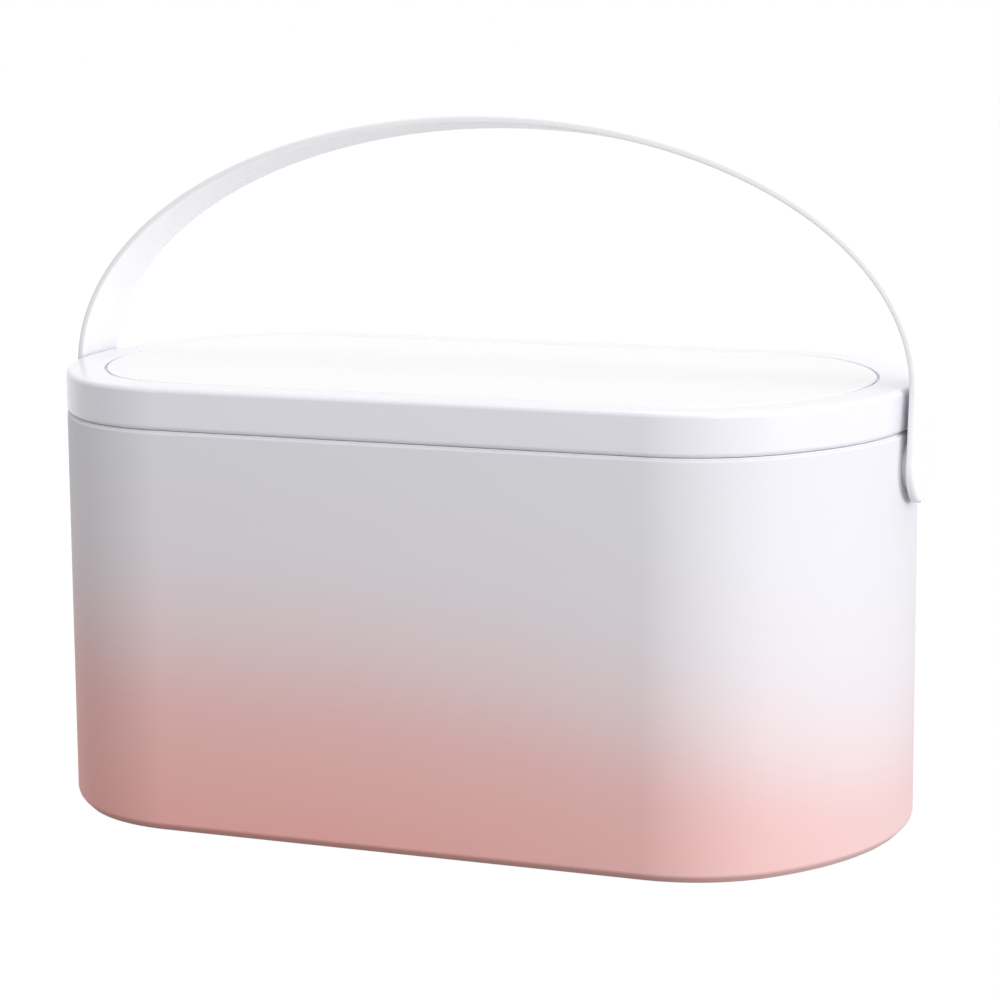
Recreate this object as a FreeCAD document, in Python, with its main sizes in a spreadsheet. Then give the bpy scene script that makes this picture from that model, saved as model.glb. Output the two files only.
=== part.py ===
import FreeCAD, Part
import math
import os
import Sketcher

# A lighted vanity case: an oval box with a hinged mirror lid and an arched carrying handle.
# X runs along the case, the front faces -Y, Z points up, and the origin lies on the floor
# under the middle of the case. Lengths are in millimetres and angles in degrees.

SIZES = {
    # Outline seen from above: straight front and back, round corners and slightly bowed ends
    "half_length": 140.0,
    "half_width": 77.5,
    "corner_radius": 49.0,
    "end_bow": 11.2,
    # Heights of the box and its lid
    "seam_height": 128.0,
    "seam_gap": 0.5,
    "lid_height": 13.4,
    # Walls and rounded edges of the box
    "wall": 3.0,
    "floor_thickness": 3.5,
    "bottom_round": 2.5,
    "rim_round": 0.8,
    # Foot pad let into the underside
    "pad_proud": 1.0,
    "pad_thickness": 2.0,
    "pad_inset": 10.0,
    # Lid shell and the panel let into its top
    "lid_wall": 3.0,
    "lid_roof": 3.4,
    "lid_top_round": 3.5,
    "lid_rim_round": 1.6,
    "panel_inset": 12.7,
    "panel_depth": 1.6,
    "panel_groove": 0.45,
    # Mirror bezel under the lid, with the light ring around the glass
    "bezel_gap": 0.3,
    "bezel_recess": 0.7,
    "bezel_height": 4.4,
    "glass_thickness": 2.0,
    "glass_gap": 0.1,
    "glass_inset": 28.2,
    "glass_backing": 1.2,
    "light_outer_inset": 17.0,
    "light_width": 10.0,
    "light_ledge": 1.0,
    "led_roof": 1.0,
    "strip_thickness": 0.4,
    "strip_margin": 1.0,
    "chip_size": 2.8,
    "chip_height": 0.7,
    "chip_count": 30.0,
    "bay_inset": 30.0,
    "bay_half_length": 80.0,
    # Electric parts above the bezel
    "battery_length": 55.0,
    "battery_width": 34.0,
    "battery_height": 5.5,
    "battery_offset": 48.0,
    "board_length": 36.0,
    "board_width": 13.0,
    "board_thickness": 1.2,
    "port_width": 9.0,
    "port_height": 3.2,
    "port_depth": 7.0,
    "port_clearance": 0.2,
    "sensor_half_side": 6.0,
    "sensor_height": 0.8,
    "sensor_edge_gap": 3.5,
    # Screws that hold the bezel
    "bezel_screw_inset": 9.5,
    "bezel_screw_spread": 70.0,
    "screw_radius": 1.3,
    "screw_head_radius": 2.7,
    "screw_head_height": 1.5,
    "screw_bite": 3.6,
    "post_radius": 3.5,
    # Magnets that keep the lid shut
    "magnet_half_side": 3.6,
    "magnet_height": 2.5,
    "magnet_spread": 35.0,
    "magnet_setback": 7.5,
    "magnet_boss_half_side": 5.5,
    "magnet_boss_height": 10.0,
    "magnet_rim_drop": 0.4,
    # Handle: a moulded band that rises from two pivots into half an ellipse
    "handle_arm_rise": 21.7,
    "handle_arch_rise": 80.0,
    "handle_width": 23.0,
    "handle_thickness": 2.7,
    "handle_edge_round": 1.2,
    "handle_joint_offset": 60.0,
    "handle_lean": 7.0,
    # Pivots of the handle
    "pivot_height": 117.5,
    "pivot_pin_radius": 4.0,
    "pivot_seat_depth": 1.8,
    "bushing_wall": 2.0,
    "boss_radius": 9.0,
    "boss_depth": 7.5,
    "spot_depth": 0.5,
    "washer_radius": 8.0,
    "washer_thickness": 2.1,
    "washer_play": 0.1,
    "ring_thickness": 1.0,
    "ring_radius": 6.5,
    "ring_play": 0.15,
    "pin_tail": 0.9,
    "fit_clearance": 0.05,
    # Back hinges
    "hinge_spread": 50.0,
    "leaf_length": 30.0,
    "leaf_thickness": 1.2,
    "body_leaf_drop": 18.0,
    "lid_leaf_rise": 11.0,
    "knuckle_radius": 2.6,
    "knuckle_gap": 0.3,
    "hinge_pin_radius": 1.5,
    "hinge_screw_radius": 1.2,
    "hinge_screw_head_radius": 2.3,
    "hinge_screw_head_height": 0.9,
    "hinge_screw_bite": 2.4,
    "hinge_screw_spread": 10.0,
    "hinge_screw_inset": 6.0,
    # Mat and loose dividers inside the box
    "mat_thickness": 2.0,
    "mat_gap": 1.0,
    "divider_thickness": 1.6,
    "divider_height": 62.0,
    "divider_gap": 0.4,
    "divider_slot_gap": 0.2,
    "long_divider_offset": 12.0,
    "cross_divider_spread": 46.0,
}

doc = FreeCAD.newDocument("VanityCase")
sheet = doc.addObject("Spreadsheet::Sheet", "Dimensions")
for row, (alias, number) in enumerate(SIZES.items(), start=1):
    sheet.set(f"A{row}", alias)
    sheet.set(f"B{row}", str(number))
    sheet.setAlias(f"B{row}", alias)
doc.recompute()


class Size:
    """A length from the sheet: its number, and the expression that keeps an object bound to it."""

    def __init__(self, number, text):
        self.number = number
        self.text = text

    def __add__(self, other):
        other = as_size(other)
        return Size(self.number + other.number, f"({self.text} + {other.text})")

    def __sub__(self, other):
        other = as_size(other)
        return Size(self.number - other.number, f"({self.text} - {other.text})")

    def __mul__(self, factor):
        return Size(self.number * factor, f"{self.text} * {factor}")

    def __neg__(self):
        return Size(-self.number, f"(0 - {self.text})")


def as_size(value):
    if isinstance(value, Size):
        return value
    return Size(float(value), f"{float(value)}")


def size(alias):
    return Size(float(sheet.get(alias)), f"Dimensions.{alias}")


NOTHING = as_size(0)

# Share of a radius that a flat takes off each face: the 45 degree flat alone, then each 22.5 degree one
WIDE_FLAT = 1 - math.tan(math.pi / 8)
NARROW_FLAT = math.tan(math.pi / 8) - math.tan(math.pi / 16)

# How far a hexagon's corners reach, for a round pin of radius one that touches its sides
HEXAGON_REACH = 1 / math.cos(math.pi / 6)

# Levels and places that several pieces share
body_top = size("seam_height") - size("seam_gap") * 0.5
lid_bottom = size("seam_height") + size("seam_gap") * 0.5
lid_top = lid_bottom + size("lid_height")
lid_ceiling = lid_top - size("lid_roof")
floor_top = size("pad_proud") + size("floor_thickness")
bezel_bottom = lid_bottom + size("bezel_recess")
bezel_top = bezel_bottom + size("bezel_height")
glass_top = bezel_bottom + size("glass_thickness")
light_ceiling = bezel_top - size("led_roof")
strip_bottom = light_ceiling - size("strip_thickness")
hollow_floor = glass_top + size("glass_backing")
light_inner_inset = size("light_outer_inset") + size("light_width")
straight_half = size("half_length") - size("corner_radius") - size("end_bow")
corner_offset = size("half_width") - size("corner_radius")
spot_face = size("half_length") - size("spot_depth")
boss_face = size("half_length") - size("boss_depth")
bushing_radius = size("pivot_pin_radius") + size("bushing_wall")
handle_half_span = spot_face + size("washer_thickness") + size("washer_play")
handle_reach = handle_half_span + size("handle_thickness")
handle_spring = size("pivot_height") + size("handle_arm_rise")
hinge_axis_y = size("half_width") + size("knuckle_radius") + size("knuckle_gap")
magnet_y = -(size("half_width") - size("magnet_setback"))
magnet_points = [(size("magnet_spread") * side, magnet_y) for side in (-1, 1)]
screw_y = size("half_width") - size("bezel_screw_inset")
screw_x_end = size("half_length") - size("bezel_screw_inset")
screw_points = [(size("bezel_screw_spread") * side, screw_y * back) for side in (-1, 1) for back in (-1, 1)]
screw_points += [(screw_x_end * side, NOTHING) for side in (-1, 1)]


def new_body(label):
    body = doc.addObject("PartDesign::Body", label)
    body.Label = label
    return body


def origin_plane(body, role):
    return next(item for item in body.Origin.OriginFeatures if item.Role == role)


def new_sketch(body, role, offset=NOTHING):
    """A sketch on one of the body's origin planes, moved along the plane's normal."""
    sketch = body.newObject("Sketcher::SketchObject", f"{body.Name}_sketch")
    sketch.AttachmentSupport = [(origin_plane(body, role), "")]
    sketch.MapMode = "FlatFace"
    sketch.AttachmentOffset = FreeCAD.Placement(FreeCAD.Vector(0, 0, offset.number), FreeCAD.Rotation())
    sketch.setExpression("AttachmentOffset.Base.z", offset.text)
    return sketch


def constrain(sketch, kind, *items):
    return sketch.addConstraint(Sketcher.Constraint(kind, *items))


def dimension(sketch, kind, *items):
    """A driving constraint, its last item the Size that it is bound to."""
    *places, length = items
    index = constrain(sketch, kind, *places, length.number)
    sketch.setExpression(f"Constraints[{index}]", length.text)


def place_point(sketch, geometry, point, x, y):
    """Holds a point at a place in the sketch, on an axis where a coordinate is nothing."""
    if x is NOTHING:
        constrain(sketch, "PointOnObject", geometry, point, -2)
    else:
        dimension(sketch, "DistanceX", -1, 1, geometry, point, x)
    if y is NOTHING:
        constrain(sketch, "PointOnObject", geometry, point, -1)
    else:
        dimension(sketch, "DistanceY", -1, 1, geometry, point, y)


def vector(x, y):
    return FreeCAD.Vector(x, y, 0)


def add_circle(sketch, radius, x=NOTHING, y=NOTHING):
    circle = Part.Circle(vector(x.number, y.number), FreeCAD.Vector(0, 0, 1), radius.number)
    index = sketch.addGeometry(circle)
    place_point(sketch, index, 3, x, y)
    dimension(sketch, "Radius", index, radius)


def add_rectangle(sketch, x_low, x_high, y_low, y_high):
    corners = [
        vector(x_low.number, y_low.number),
        vector(x_high.number, y_low.number),
        vector(x_high.number, y_high.number),
        vector(x_low.number, y_high.number),
    ]
    first = sketch.addGeometry(Part.LineSegment(corners[0], corners[1]))
    for start in (1, 2, 3):
        sketch.addGeometry(Part.LineSegment(corners[start], corners[(start + 1) % 4]))
    for side in range(4):
        constrain(sketch, "Coincident", first + side, 2, first + (side + 1) % 4, 1)
        constrain(sketch, "Vertical" if side % 2 else "Horizontal", first + side)
    place_point(sketch, first, 1, x_low, y_low)
    place_point(sketch, first + 2, 1, x_high, y_high)


def add_square(sketch, half, x, y):
    add_rectangle(sketch, x - half, x + half, y - half, y + half)


def add_hexagon(sketch, radius, x=NOTHING, y=NOTHING):
    """A regular hexagon with one corner towards +X, its corners on a construction circle."""
    circle = Part.Circle(vector(x.number, y.number), FreeCAD.Vector(0, 0, 1), radius.number)
    ring = sketch.addGeometry(circle, True)
    place_point(sketch, ring, 3, x, y)
    dimension(sketch, "Radius", ring, radius)
    corners = []
    for step in range(6):
        angle = math.pi / 3 * step
        reach = radius.number
        corners.append(vector(x.number + reach * math.cos(angle), y.number + reach * math.sin(angle)))
    first = ring + 1
    for step in range(6):
        sketch.addGeometry(Part.LineSegment(corners[step], corners[(step + 1) % 6]))
    for step in range(6):
        constrain(sketch, "Coincident", first + step, 2, first + (step + 1) % 6, 1)
        constrain(sketch, "PointOnObject", first + step, 1, ring)
    for step in range(1, 6):
        constrain(sketch, "Equal", first, first + step)
    constrain(sketch, "Horizontal", first, 1, ring, 3)


def outline_numbers(inset):
    """Corner centre, corner radius, end centre and end radius of the outline at an inset."""
    reach = size("half_length").number - size("corner_radius").number
    x, y = straight_half.number, corner_offset.number
    end_centre = (reach**2 - x**2 - y**2) / (2 * (reach - x))
    return x, y, size("corner_radius").number - inset, end_centre, size("half_length").number - end_centre - inset


def add_outline(sketch, inset=NOTHING):
    """The case's outline, drawn inwards by the inset: two lines, four corner arcs and two bowed ends."""
    x, y, corner, end_centre, end = outline_numbers(inset.number)
    turn = math.atan2(y, x - end_centre)
    quarter, half, whole = math.pi / 2, math.pi, 2 * math.pi
    up = FreeCAD.Vector(0, 0, 1)
    pieces = [
        Part.LineSegment(vector(-x, -y - corner), vector(x, -y - corner)),
        Part.ArcOfCircle(Part.Circle(vector(x, -y), up, corner), -quarter, -turn),
        Part.ArcOfCircle(Part.Circle(vector(end_centre, 0), up, end), -turn, turn),
        Part.ArcOfCircle(Part.Circle(vector(x, y), up, corner), turn, quarter),
        Part.LineSegment(vector(x, y + corner), vector(-x, y + corner)),
        Part.ArcOfCircle(Part.Circle(vector(-x, y), up, corner), quarter, half - turn),
        Part.ArcOfCircle(Part.Circle(vector(-end_centre, 0), up, end), half - turn, half + turn),
        Part.ArcOfCircle(Part.Circle(vector(-x, -y), up, corner), half + turn, whole - quarter),
    ]
    first = sketch.addGeometry(pieces[0])
    for piece in pieces[1:]:
        sketch.addGeometry(piece)
    for step in range(8):
        constrain(sketch, "Tangent", first + step, 2, first + (step + 1) % 8, 1)
    corners = {first + 1: (1, -1), first + 3: (1, 1), first + 5: (-1, 1), first + 7: (-1, -1)}
    for index, (side, back) in corners.items():
        place_point(sketch, index, 3, straight_half * side, corner_offset * back)
    dimension(sketch, "Radius", first + 1, size("corner_radius") - inset)
    for index in (first + 3, first + 5, first + 7):
        constrain(sketch, "Equal", first + 1, index)
    for index, side in ((first + 2, 1), (first + 6, -1)):
        tip = size("half_length") - inset
        mark = sketch.addGeometry(Part.Point(vector(tip.number * side, 0)), True)
        place_point(sketch, mark, 1, tip * side, NOTHING)
        constrain(sketch, "PointOnObject", mark, 1, index)


def pad(sketch, length, backwards=False):
    body = sketch.getParent()
    feature = body.newObject("PartDesign::Pad", f"{body.Name}_pad")
    feature.Profile = sketch
    feature.Length = length.number
    feature.setExpression("Length", length.text)
    feature.Reversed = backwards
    doc.recompute()
    return feature


def pocket(sketch, depth, forwards=False):
    """Cuts against the sketch's normal, or along it, and makes sure that something was cut."""
    body = sketch.getParent()
    before = body.Shape.Volume
    feature = body.newObject("PartDesign::Pocket", f"{body.Name}_pocket")
    feature.Profile = sketch
    feature.Length = depth.number
    feature.setExpression("Length", depth.text)
    feature.Reversed = forwards
    doc.recompute()
    if not body.Shape.Volume < before - 1e-6:
        raise ValueError(f"{feature.Name} cuts nothing")
    return feature


def bevel_edges(body, length, wanted):
    """Takes a flat off the edges of the body that the test picks, each given with its middle."""
    solid = body.Tip
    names = []
    for number, edge in enumerate(solid.Shape.Edges, start=1):
        low, high = edge.ParameterRange
        if wanted(edge, edge.valueAt((low + high) / 2)):
            names.append(f"Edge{number}")
    feature = body.newObject("PartDesign::Chamfer", f"{body.Name}_chamfer")
    feature.Base = (solid, names)
    feature.Size = length.number
    feature.setExpression("Size", length.text)
    doc.recompute()


def round_rim(body, level, radius, inwards, inset_limit=None):
    """Rounds the outer edge at a level with three flats that touch the round: 45 degrees, then 22.5."""
    bevel_edges(body, radius * WIDE_FLAT, at_level(level.number, inset_limit))
    lower = level + radius * (WIDE_FLAT * inwards)
    tests = [at_level(level.number, inset_limit), at_level(lower.number, inset_limit)]
    bevel_edges(body, radius * NARROW_FLAT, lambda edge, middle: any(test(edge, middle) for test in tests))


def at_level(level, inset_limit=None):
    """Picks the edges that lie flat at a level, and with a limit only the outermost of them."""

    def test(edge, middle):
        box = edge.BoundBox
        if abs(box.ZMin - level) > 1e-4 or abs(box.ZMax - level) > 1e-4:
            return False
        return inset_limit is None or outside_outline(middle, inset_limit)

    return test


def outside_outline(point, inset):
    """Whether a point lies outside the outline drawn inwards by the inset."""
    x, y, corner, end_centre, end = outline_numbers(inset)
    across, along = abs(point.y), abs(point.x)
    if along <= x:
        return across > y + corner
    if (along - end_centre) * y > across * (x - end_centre):
        return math.hypot(along - end_centre, across) > end
    return math.hypot(along - x, across - y) > corner


def outline_body(label, bottom, height, inset, hole_inset=None):
    """A plate or ring of the case's outline, between two levels."""
    body = new_body(label)
    sketch = new_sketch(body, "XY_Plane", bottom)
    add_outline(sketch, inset)
    if hole_inset is not None:
        add_outline(sketch, hole_inset)
    pad(sketch, height)
    return body


def outline_pocket(body, level, depth, inset, core_inset=None, forwards=False):
    sketch = new_sketch(body, "XY_Plane", level)
    add_outline(sketch, inset)
    if core_inset is not None:
        add_outline(sketch, core_inset)
    pocket(sketch, depth, forwards)


def shaped_pockets(body, level, depth, add_shape, radius, points, forwards=False):
    """Pockets of one shape, a square or a hexagon, at several places."""
    sketch = new_sketch(body, "XY_Plane", level)
    for x, y in points:
        add_shape(sketch, radius, x, y)
    pocket(sketch, depth, forwards)


def block_body(label, x_low, x_high, y_low, y_high, bottom, height):
    body = new_body(label)
    sketch = new_sketch(body, "XY_Plane", bottom)
    add_rectangle(sketch, x_low, x_high, y_low, y_high)
    pad(sketch, height)
    return body


def make_body_shell():
    body = outline_body("body_shell", size("pad_proud"), body_top - size("pad_proud"), NOTHING)
    round_rim(body, size("pad_proud"), size("bottom_round"), 1)
    outline_pocket(body, body_top, body_top - floor_top, size("wall"))
    bevel_edges(body, size("rim_round") * WIDE_FLAT, at_level(body_top.number, size("wall").number / 2))
    pad_recess = size("pad_thickness") - size("pad_proud")
    outline_pocket(body, size("pad_proud"), pad_recess, size("pad_inset"), forwards=True)
    for side in (-1, 1):
        sketch = new_sketch(body, "YZ_Plane", boss_face * side)
        add_hexagon(sketch, size("boss_radius"), NOTHING, size("pivot_height"))
        pad(sketch, size("boss_depth") - size("wall") * 0.5, backwards=side < 0)
        sketch = new_sketch(body, "YZ_Plane", size("half_length") * side)
        add_circle(sketch, size("washer_radius") + size("fit_clearance"), NOTHING, size("pivot_height"))
        pocket(sketch, size("spot_depth"), forwards=side < 0)
        sketch = new_sketch(body, "YZ_Plane", size("half_length") * side)
        add_hexagon(sketch, bushing_radius + size("fit_clearance"), NOTHING, size("pivot_height"))
        pocket(sketch, size("boss_depth"), forwards=side < 0)
    boss_top = body_top - size("magnet_rim_drop")
    sketch = new_sketch(body, "XY_Plane", boss_top)
    for x, y in magnet_points:
        add_square(sketch, size("magnet_boss_half_side"), x, y)
    pad(sketch, size("magnet_boss_height"), backwards=True)
    seat = size("magnet_half_side") + size("fit_clearance")
    shaped_pockets(body, boss_top, size("magnet_height"), add_square, seat, magnet_points)
    screw_holes(body, BODY_SCREWS)


def hinge_screw_places(level, spots):
    """Where the screws of both hinges go in: along each leaf, at one level below or above the seam."""
    places = []
    for side in (-1, 1):
        for spot in spots:
            places.append((size("hinge_spread") * side + size("hinge_screw_spread") * spot, level))
    return places


BODY_SCREWS = hinge_screw_places(size("seam_height") - size("body_leaf_drop") + size("hinge_screw_inset"), (-1, 1))
LID_SCREWS = hinge_screw_places(size("seam_height") + size("lid_leaf_rise") * 0.5 + size("knuckle_radius") * 0.5, (-1, 1))


def screw_holes(body, places):
    """Blind holes for the hinge screws in a back wall."""
    sketch = new_sketch(body, "XZ_Plane", -size("half_width"))
    for x, z in places:
        add_hexagon(sketch, size("hinge_screw_radius") + size("fit_clearance"), x, z)
    pocket(sketch, size("hinge_screw_bite") + size("fit_clearance"), forwards=True)


def make_lid_shell():
    body = outline_body("lid_shell", lid_bottom, size("lid_height"), NOTHING)
    round_rim(body, lid_top, size("lid_top_round"), -1)
    bevel_edges(body, size("lid_rim_round") * WIDE_FLAT, at_level(lid_bottom.number))
    outline_pocket(body, lid_bottom, size("lid_height") - size("lid_roof"), size("lid_wall"), forwards=True)
    outline_pocket(body, lid_top, size("panel_depth"), size("panel_inset"))
    sketch = new_sketch(body, "XY_Plane", lid_ceiling)
    for x, y in screw_points:
        add_hexagon(sketch, size("post_radius"), x, y)
    pad(sketch, lid_ceiling - bezel_top, backwards=True)
    bite = size("screw_bite") + size("fit_clearance")
    shank = size("screw_radius") + size("fit_clearance")
    shaped_pockets(body, bezel_top, bite, add_hexagon, shank, screw_points, forwards=True)
    port_bottom = bezel_top + size("board_thickness")
    half_hole = size("port_width") * 0.5 + size("port_clearance")
    sketch = new_sketch(body, "XZ_Plane", -size("half_width"))
    hole_bottom = port_bottom - size("port_clearance")
    hole_top = port_bottom + size("port_height") + size("port_clearance")
    add_rectangle(sketch, -half_hole, half_hole, hole_bottom, hole_top)
    pocket(sketch, size("lid_wall") + size("bezel_gap"), forwards=True)
    screw_holes(body, LID_SCREWS)


def make_mirror_bezel():
    body = outline_body("mirror_bezel", bezel_bottom, size("bezel_height"), size("lid_wall") + size("bezel_gap"))
    ledge = size("light_ledge")
    outer = size("light_outer_inset")
    outline_pocket(body, bezel_bottom, size("glass_thickness"), outer, light_inner_inset, forwards=True)
    outline_pocket(body, bezel_bottom, light_ceiling - bezel_bottom, outer + ledge, light_inner_inset - ledge, True)
    outline_pocket(body, bezel_bottom, size("glass_thickness"), size("glass_inset"), forwards=True)
    bay = new_sketch(body, "XY_Plane", bezel_top)
    bay_x, bay_y = size("bay_half_length"), size("half_width") - size("bay_inset")
    add_rectangle(bay, -bay_x, bay_x, -bay_y, bay_y)
    pocket(bay, bezel_top - hollow_floor)
    seat = size("magnet_half_side") + size("fit_clearance")
    shaped_pockets(body, bezel_bottom, size("magnet_height"), add_square, seat, magnet_points, forwards=True)
    head = size("screw_head_radius") + size("fit_clearance")
    shaped_pockets(body, bezel_bottom, size("screw_head_height"), add_hexagon, head, screw_points, forwards=True)
    shank = size("screw_radius") + size("fit_clearance")
    shaped_pockets(body, bezel_bottom, size("bezel_height"), add_hexagon, shank, screw_points, forwards=True)


def handle_band(label):
    """The whole band: an outer and an inner half ellipse on straight arms, drawn in the XZ plane."""
    body = new_body(label)
    sketch = new_sketch(body, "XZ_Plane", -size("handle_width") * 0.5)
    low, spring, rise = size("pivot_height"), handle_spring, size("handle_arch_rise")
    centre = vector(0, spring.number)
    arms = []
    for across, up in ((handle_reach, rise + size("handle_thickness")), (handle_half_span, rise)):
        arc = sketch.addGeometry(Part.ArcOfEllipse(Part.Ellipse(centre, across.number, up.number), 0, math.pi))
        sketch.exposeInternalGeometry(arc)
        long_axis, short_axis = arc + 1, arc + 2
        place_point(sketch, arc, 3, NOTHING, spring)
        constrain(sketch, "Horizontal", long_axis)
        dimension(sketch, "Distance", long_axis, across * 2)
        dimension(sketch, "Distance", short_axis, up * 2)
        for point, side in ((1, 1), (2, -1)):
            top = vector(across.number * side, spring.number)
            foot = vector(across.number * side, low.number)
            arm = sketch.addGeometry(Part.LineSegment(foot, top))
            constrain(sketch, "Coincident", arc, point, arm, 2)
            constrain(sketch, "Vertical", arm)
            dimension(sketch, "DistanceY", -1, 1, arm, 1, low)
            dimension(sketch, "DistanceY", -1, 1, arm, 2, spring)
            arms.append(arm)
    right_outer, left_outer, right_inner, left_inner = arms
    for outer_arm, inner_arm in ((right_outer, right_inner), (left_outer, left_inner)):
        start = sketch.getPoint(inner_arm, 1)
        foot = sketch.addGeometry(Part.LineSegment(start, sketch.getPoint(outer_arm, 1)))
        constrain(sketch, "Coincident", foot, 1, inner_arm, 1)
        constrain(sketch, "Coincident", foot, 2, outer_arm, 1)
    pad(sketch, size("handle_width"))
    return body


def trim_band(body, x_low, x_high):
    """Cuts away the stretch of the band between two places along the case."""
    sketch = new_sketch(body, "XZ_Plane", -size("handle_width") * 0.5)
    top = handle_spring + size("handle_arch_rise") + size("handle_thickness") * 2
    add_rectangle(sketch, x_low, x_high, size("pivot_height") - size("handle_width"), top)
    pocket(sketch, size("handle_width"), forwards=True)


def make_handle():
    """Two arms with the shoulders, and the crown that the hand holds, all of one band."""
    joint, beyond = size("handle_joint_offset"), handle_reach + size("handle_thickness")
    crown = handle_band("handle")
    trim_band(crown, joint, beyond)
    trim_band(crown, -beyond, -joint)
    bevel_edges(crown, size("handle_edge_round") * WIDE_FLAT, outer_handle_edge)
    lean_about_pivot(crown)
    for name, side in (("left", -1), ("right", 1)):
        arm = handle_band(f"handle_arm_{name}")
        if side > 0:
            trim_band(arm, -beyond, joint)
        else:
            trim_band(arm, -joint, beyond)
        end = new_sketch(arm, "YZ_Plane", handle_half_span * side)
        add_circle(end, size("handle_width") * 0.5, NOTHING, size("pivot_height"))
        pad(end, size("handle_thickness"), backwards=side < 0)
        bevel_edges(arm, size("handle_edge_round") * WIDE_FLAT, outer_handle_edge)
        seat = new_sketch(arm, "YZ_Plane", handle_half_span * side)
        add_circle(seat, size("pivot_pin_radius") + size("fit_clearance"), NOTHING, size("pivot_height"))
        pocket(seat, size("pivot_seat_depth"), forwards=side > 0)
        lean_about_pivot(arm)


def outer_handle_edge(edge, middle):
    """Picks the long edges of the outer face: they keep to the outer ellipse and the arms' outer planes."""
    box = edge.BoundBox
    reach, spring = handle_reach.number, handle_spring.number
    rise = (size("handle_arch_rise") + size("handle_thickness")).number
    if middle.z > spring:
        off = abs(math.hypot(middle.x / reach, (middle.z - spring) / rise) - 1)
        return off < 1e-4 and box.YLength < 1e-4
    return abs(abs(middle.x) - reach) < 1e-4 and box.XLength < 1e-4 and box.ZLength > 1


def lean_about_pivot(item):
    """Turns a piece of the handle back about the pivots, to where it stands by itself."""
    pivot = FreeCAD.Vector(0, 0, size("pivot_height").number)
    turn = FreeCAD.Rotation(FreeCAD.Vector(1, 0, 0), -size("handle_lean").number)
    item.Placement = FreeCAD.Placement(FreeCAD.Vector(), turn, pivot)


def tube_between(label, near, far, radius, bore, side, add_outside=add_circle, add_bore=add_circle):
    """A disc, nut or tube about the pivot axis, from one distance out from the middle to another."""
    body = new_body(label)
    sketch = new_sketch(body, "YZ_Plane", near * side)
    add_outside(sketch, radius, NOTHING, size("pivot_height"))
    if bore is not None:
        add_bore(sketch, bore, NOTHING, size("pivot_height"))
    pad(sketch, far - near, backwards=side < 0)
    return body


def make_pivots():
    pin = size("pivot_pin_radius")
    running_bore = pin + size("fit_clearance")
    hexagon_bore = running_bore * HEXAGON_REACH
    ring_outer_face = boss_face - size("ring_play")
    ring_inner_face = ring_outer_face - size("ring_thickness")
    pin_tip = ring_inner_face - size("pin_tail")
    pin_seat = handle_half_span + size("pivot_seat_depth")
    for name, side in (("left", -1), ("right", 1)):
        tube_between(
            f"pivot_bushing_{name}", boss_face, spot_face, bushing_radius, running_bore, side, add_hexagon
        )
        washer_far = spot_face + size("washer_thickness")
        tube_between(
            f"friction_washer_{name}", spot_face, washer_far, size("washer_radius"), hexagon_bore, side,
            add_circle, add_hexagon
        )
        tube_between(f"pivot_pin_{name}", pin_tip, pin_seat, pin, None, side)
        tube_between(
            f"retaining_ring_{name}", ring_inner_face, ring_outer_face, size("ring_radius"), hexagon_bore, side,
            add_hexagon, add_hexagon
        )


def make_hinge_leaf(label, side, on_lid):
    """One leaf with its knuckles: the body leaf has the two outer knuckles, the lid leaf the middle one."""
    body = new_body(label)
    middle = size("hinge_spread") * side
    half = size("leaf_length") * 0.5
    third = size("leaf_length") * (1 / 6)
    play = size("knuckle_gap") * 0.5
    axis_z = size("seam_height")
    neck = size("knuckle_radius") * 0.5
    relief = size("knuckle_radius") + size("knuckle_gap")
    sketch = new_sketch(body, "XZ_Plane", -size("half_width"))
    if on_lid:
        add_rectangle(sketch, middle - half, middle + half, axis_z + relief, axis_z + size("lid_leaf_rise"))
    else:
        add_rectangle(sketch, middle - half, middle + half, axis_z - size("body_leaf_drop"), axis_z - relief)
    pad(sketch, size("leaf_thickness"), backwards=True)
    if on_lid:
        knuckles = [(middle - third + play, middle + third - play)]
    else:
        knuckles = [(middle - half, middle - third - play), (middle + third + play, middle + half)]
    for low, high in knuckles:
        neck_sketch = new_sketch(body, "XZ_Plane", -size("half_width"))
        if on_lid:
            add_rectangle(neck_sketch, low, high, axis_z + neck, axis_z + relief)
        else:
            add_rectangle(neck_sketch, low, high, axis_z - relief, axis_z - neck)
        pad(neck_sketch, size("leaf_thickness"), backwards=True)
        barrel = new_sketch(body, "YZ_Plane", low)
        add_circle(barrel, size("knuckle_radius"), hinge_axis_y, axis_z)
        pad(barrel, high - low)
    bore = new_sketch(body, "YZ_Plane", middle - half)
    add_hexagon(bore, (size("hinge_pin_radius") + size("fit_clearance")) * HEXAGON_REACH, hinge_axis_y, axis_z)
    pocket(bore, size("leaf_length"), forwards=True)
    holes = new_sketch(body, "XZ_Plane", -size("half_width"))
    for x, z in LID_SCREWS if on_lid else BODY_SCREWS:
        if x.number * side > 0:
            add_hexagon(holes, size("hinge_screw_radius") + size("fit_clearance"), x, z)
    pocket(holes, size("leaf_thickness"))


def group(label, solids):
    """Several identical solids that make one sub-part."""
    feature = doc.addObject("Part::Feature", label)
    feature.Label = label
    feature.Shape = Part.makeCompound(solids)
    feature.Placement = FreeCAD.Placement()


def cylinder(radius, length, base, direction):
    return Part.makeCylinder(radius.number, length.number, FreeCAD.Vector(*base), FreeCAD.Vector(*direction))


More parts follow.
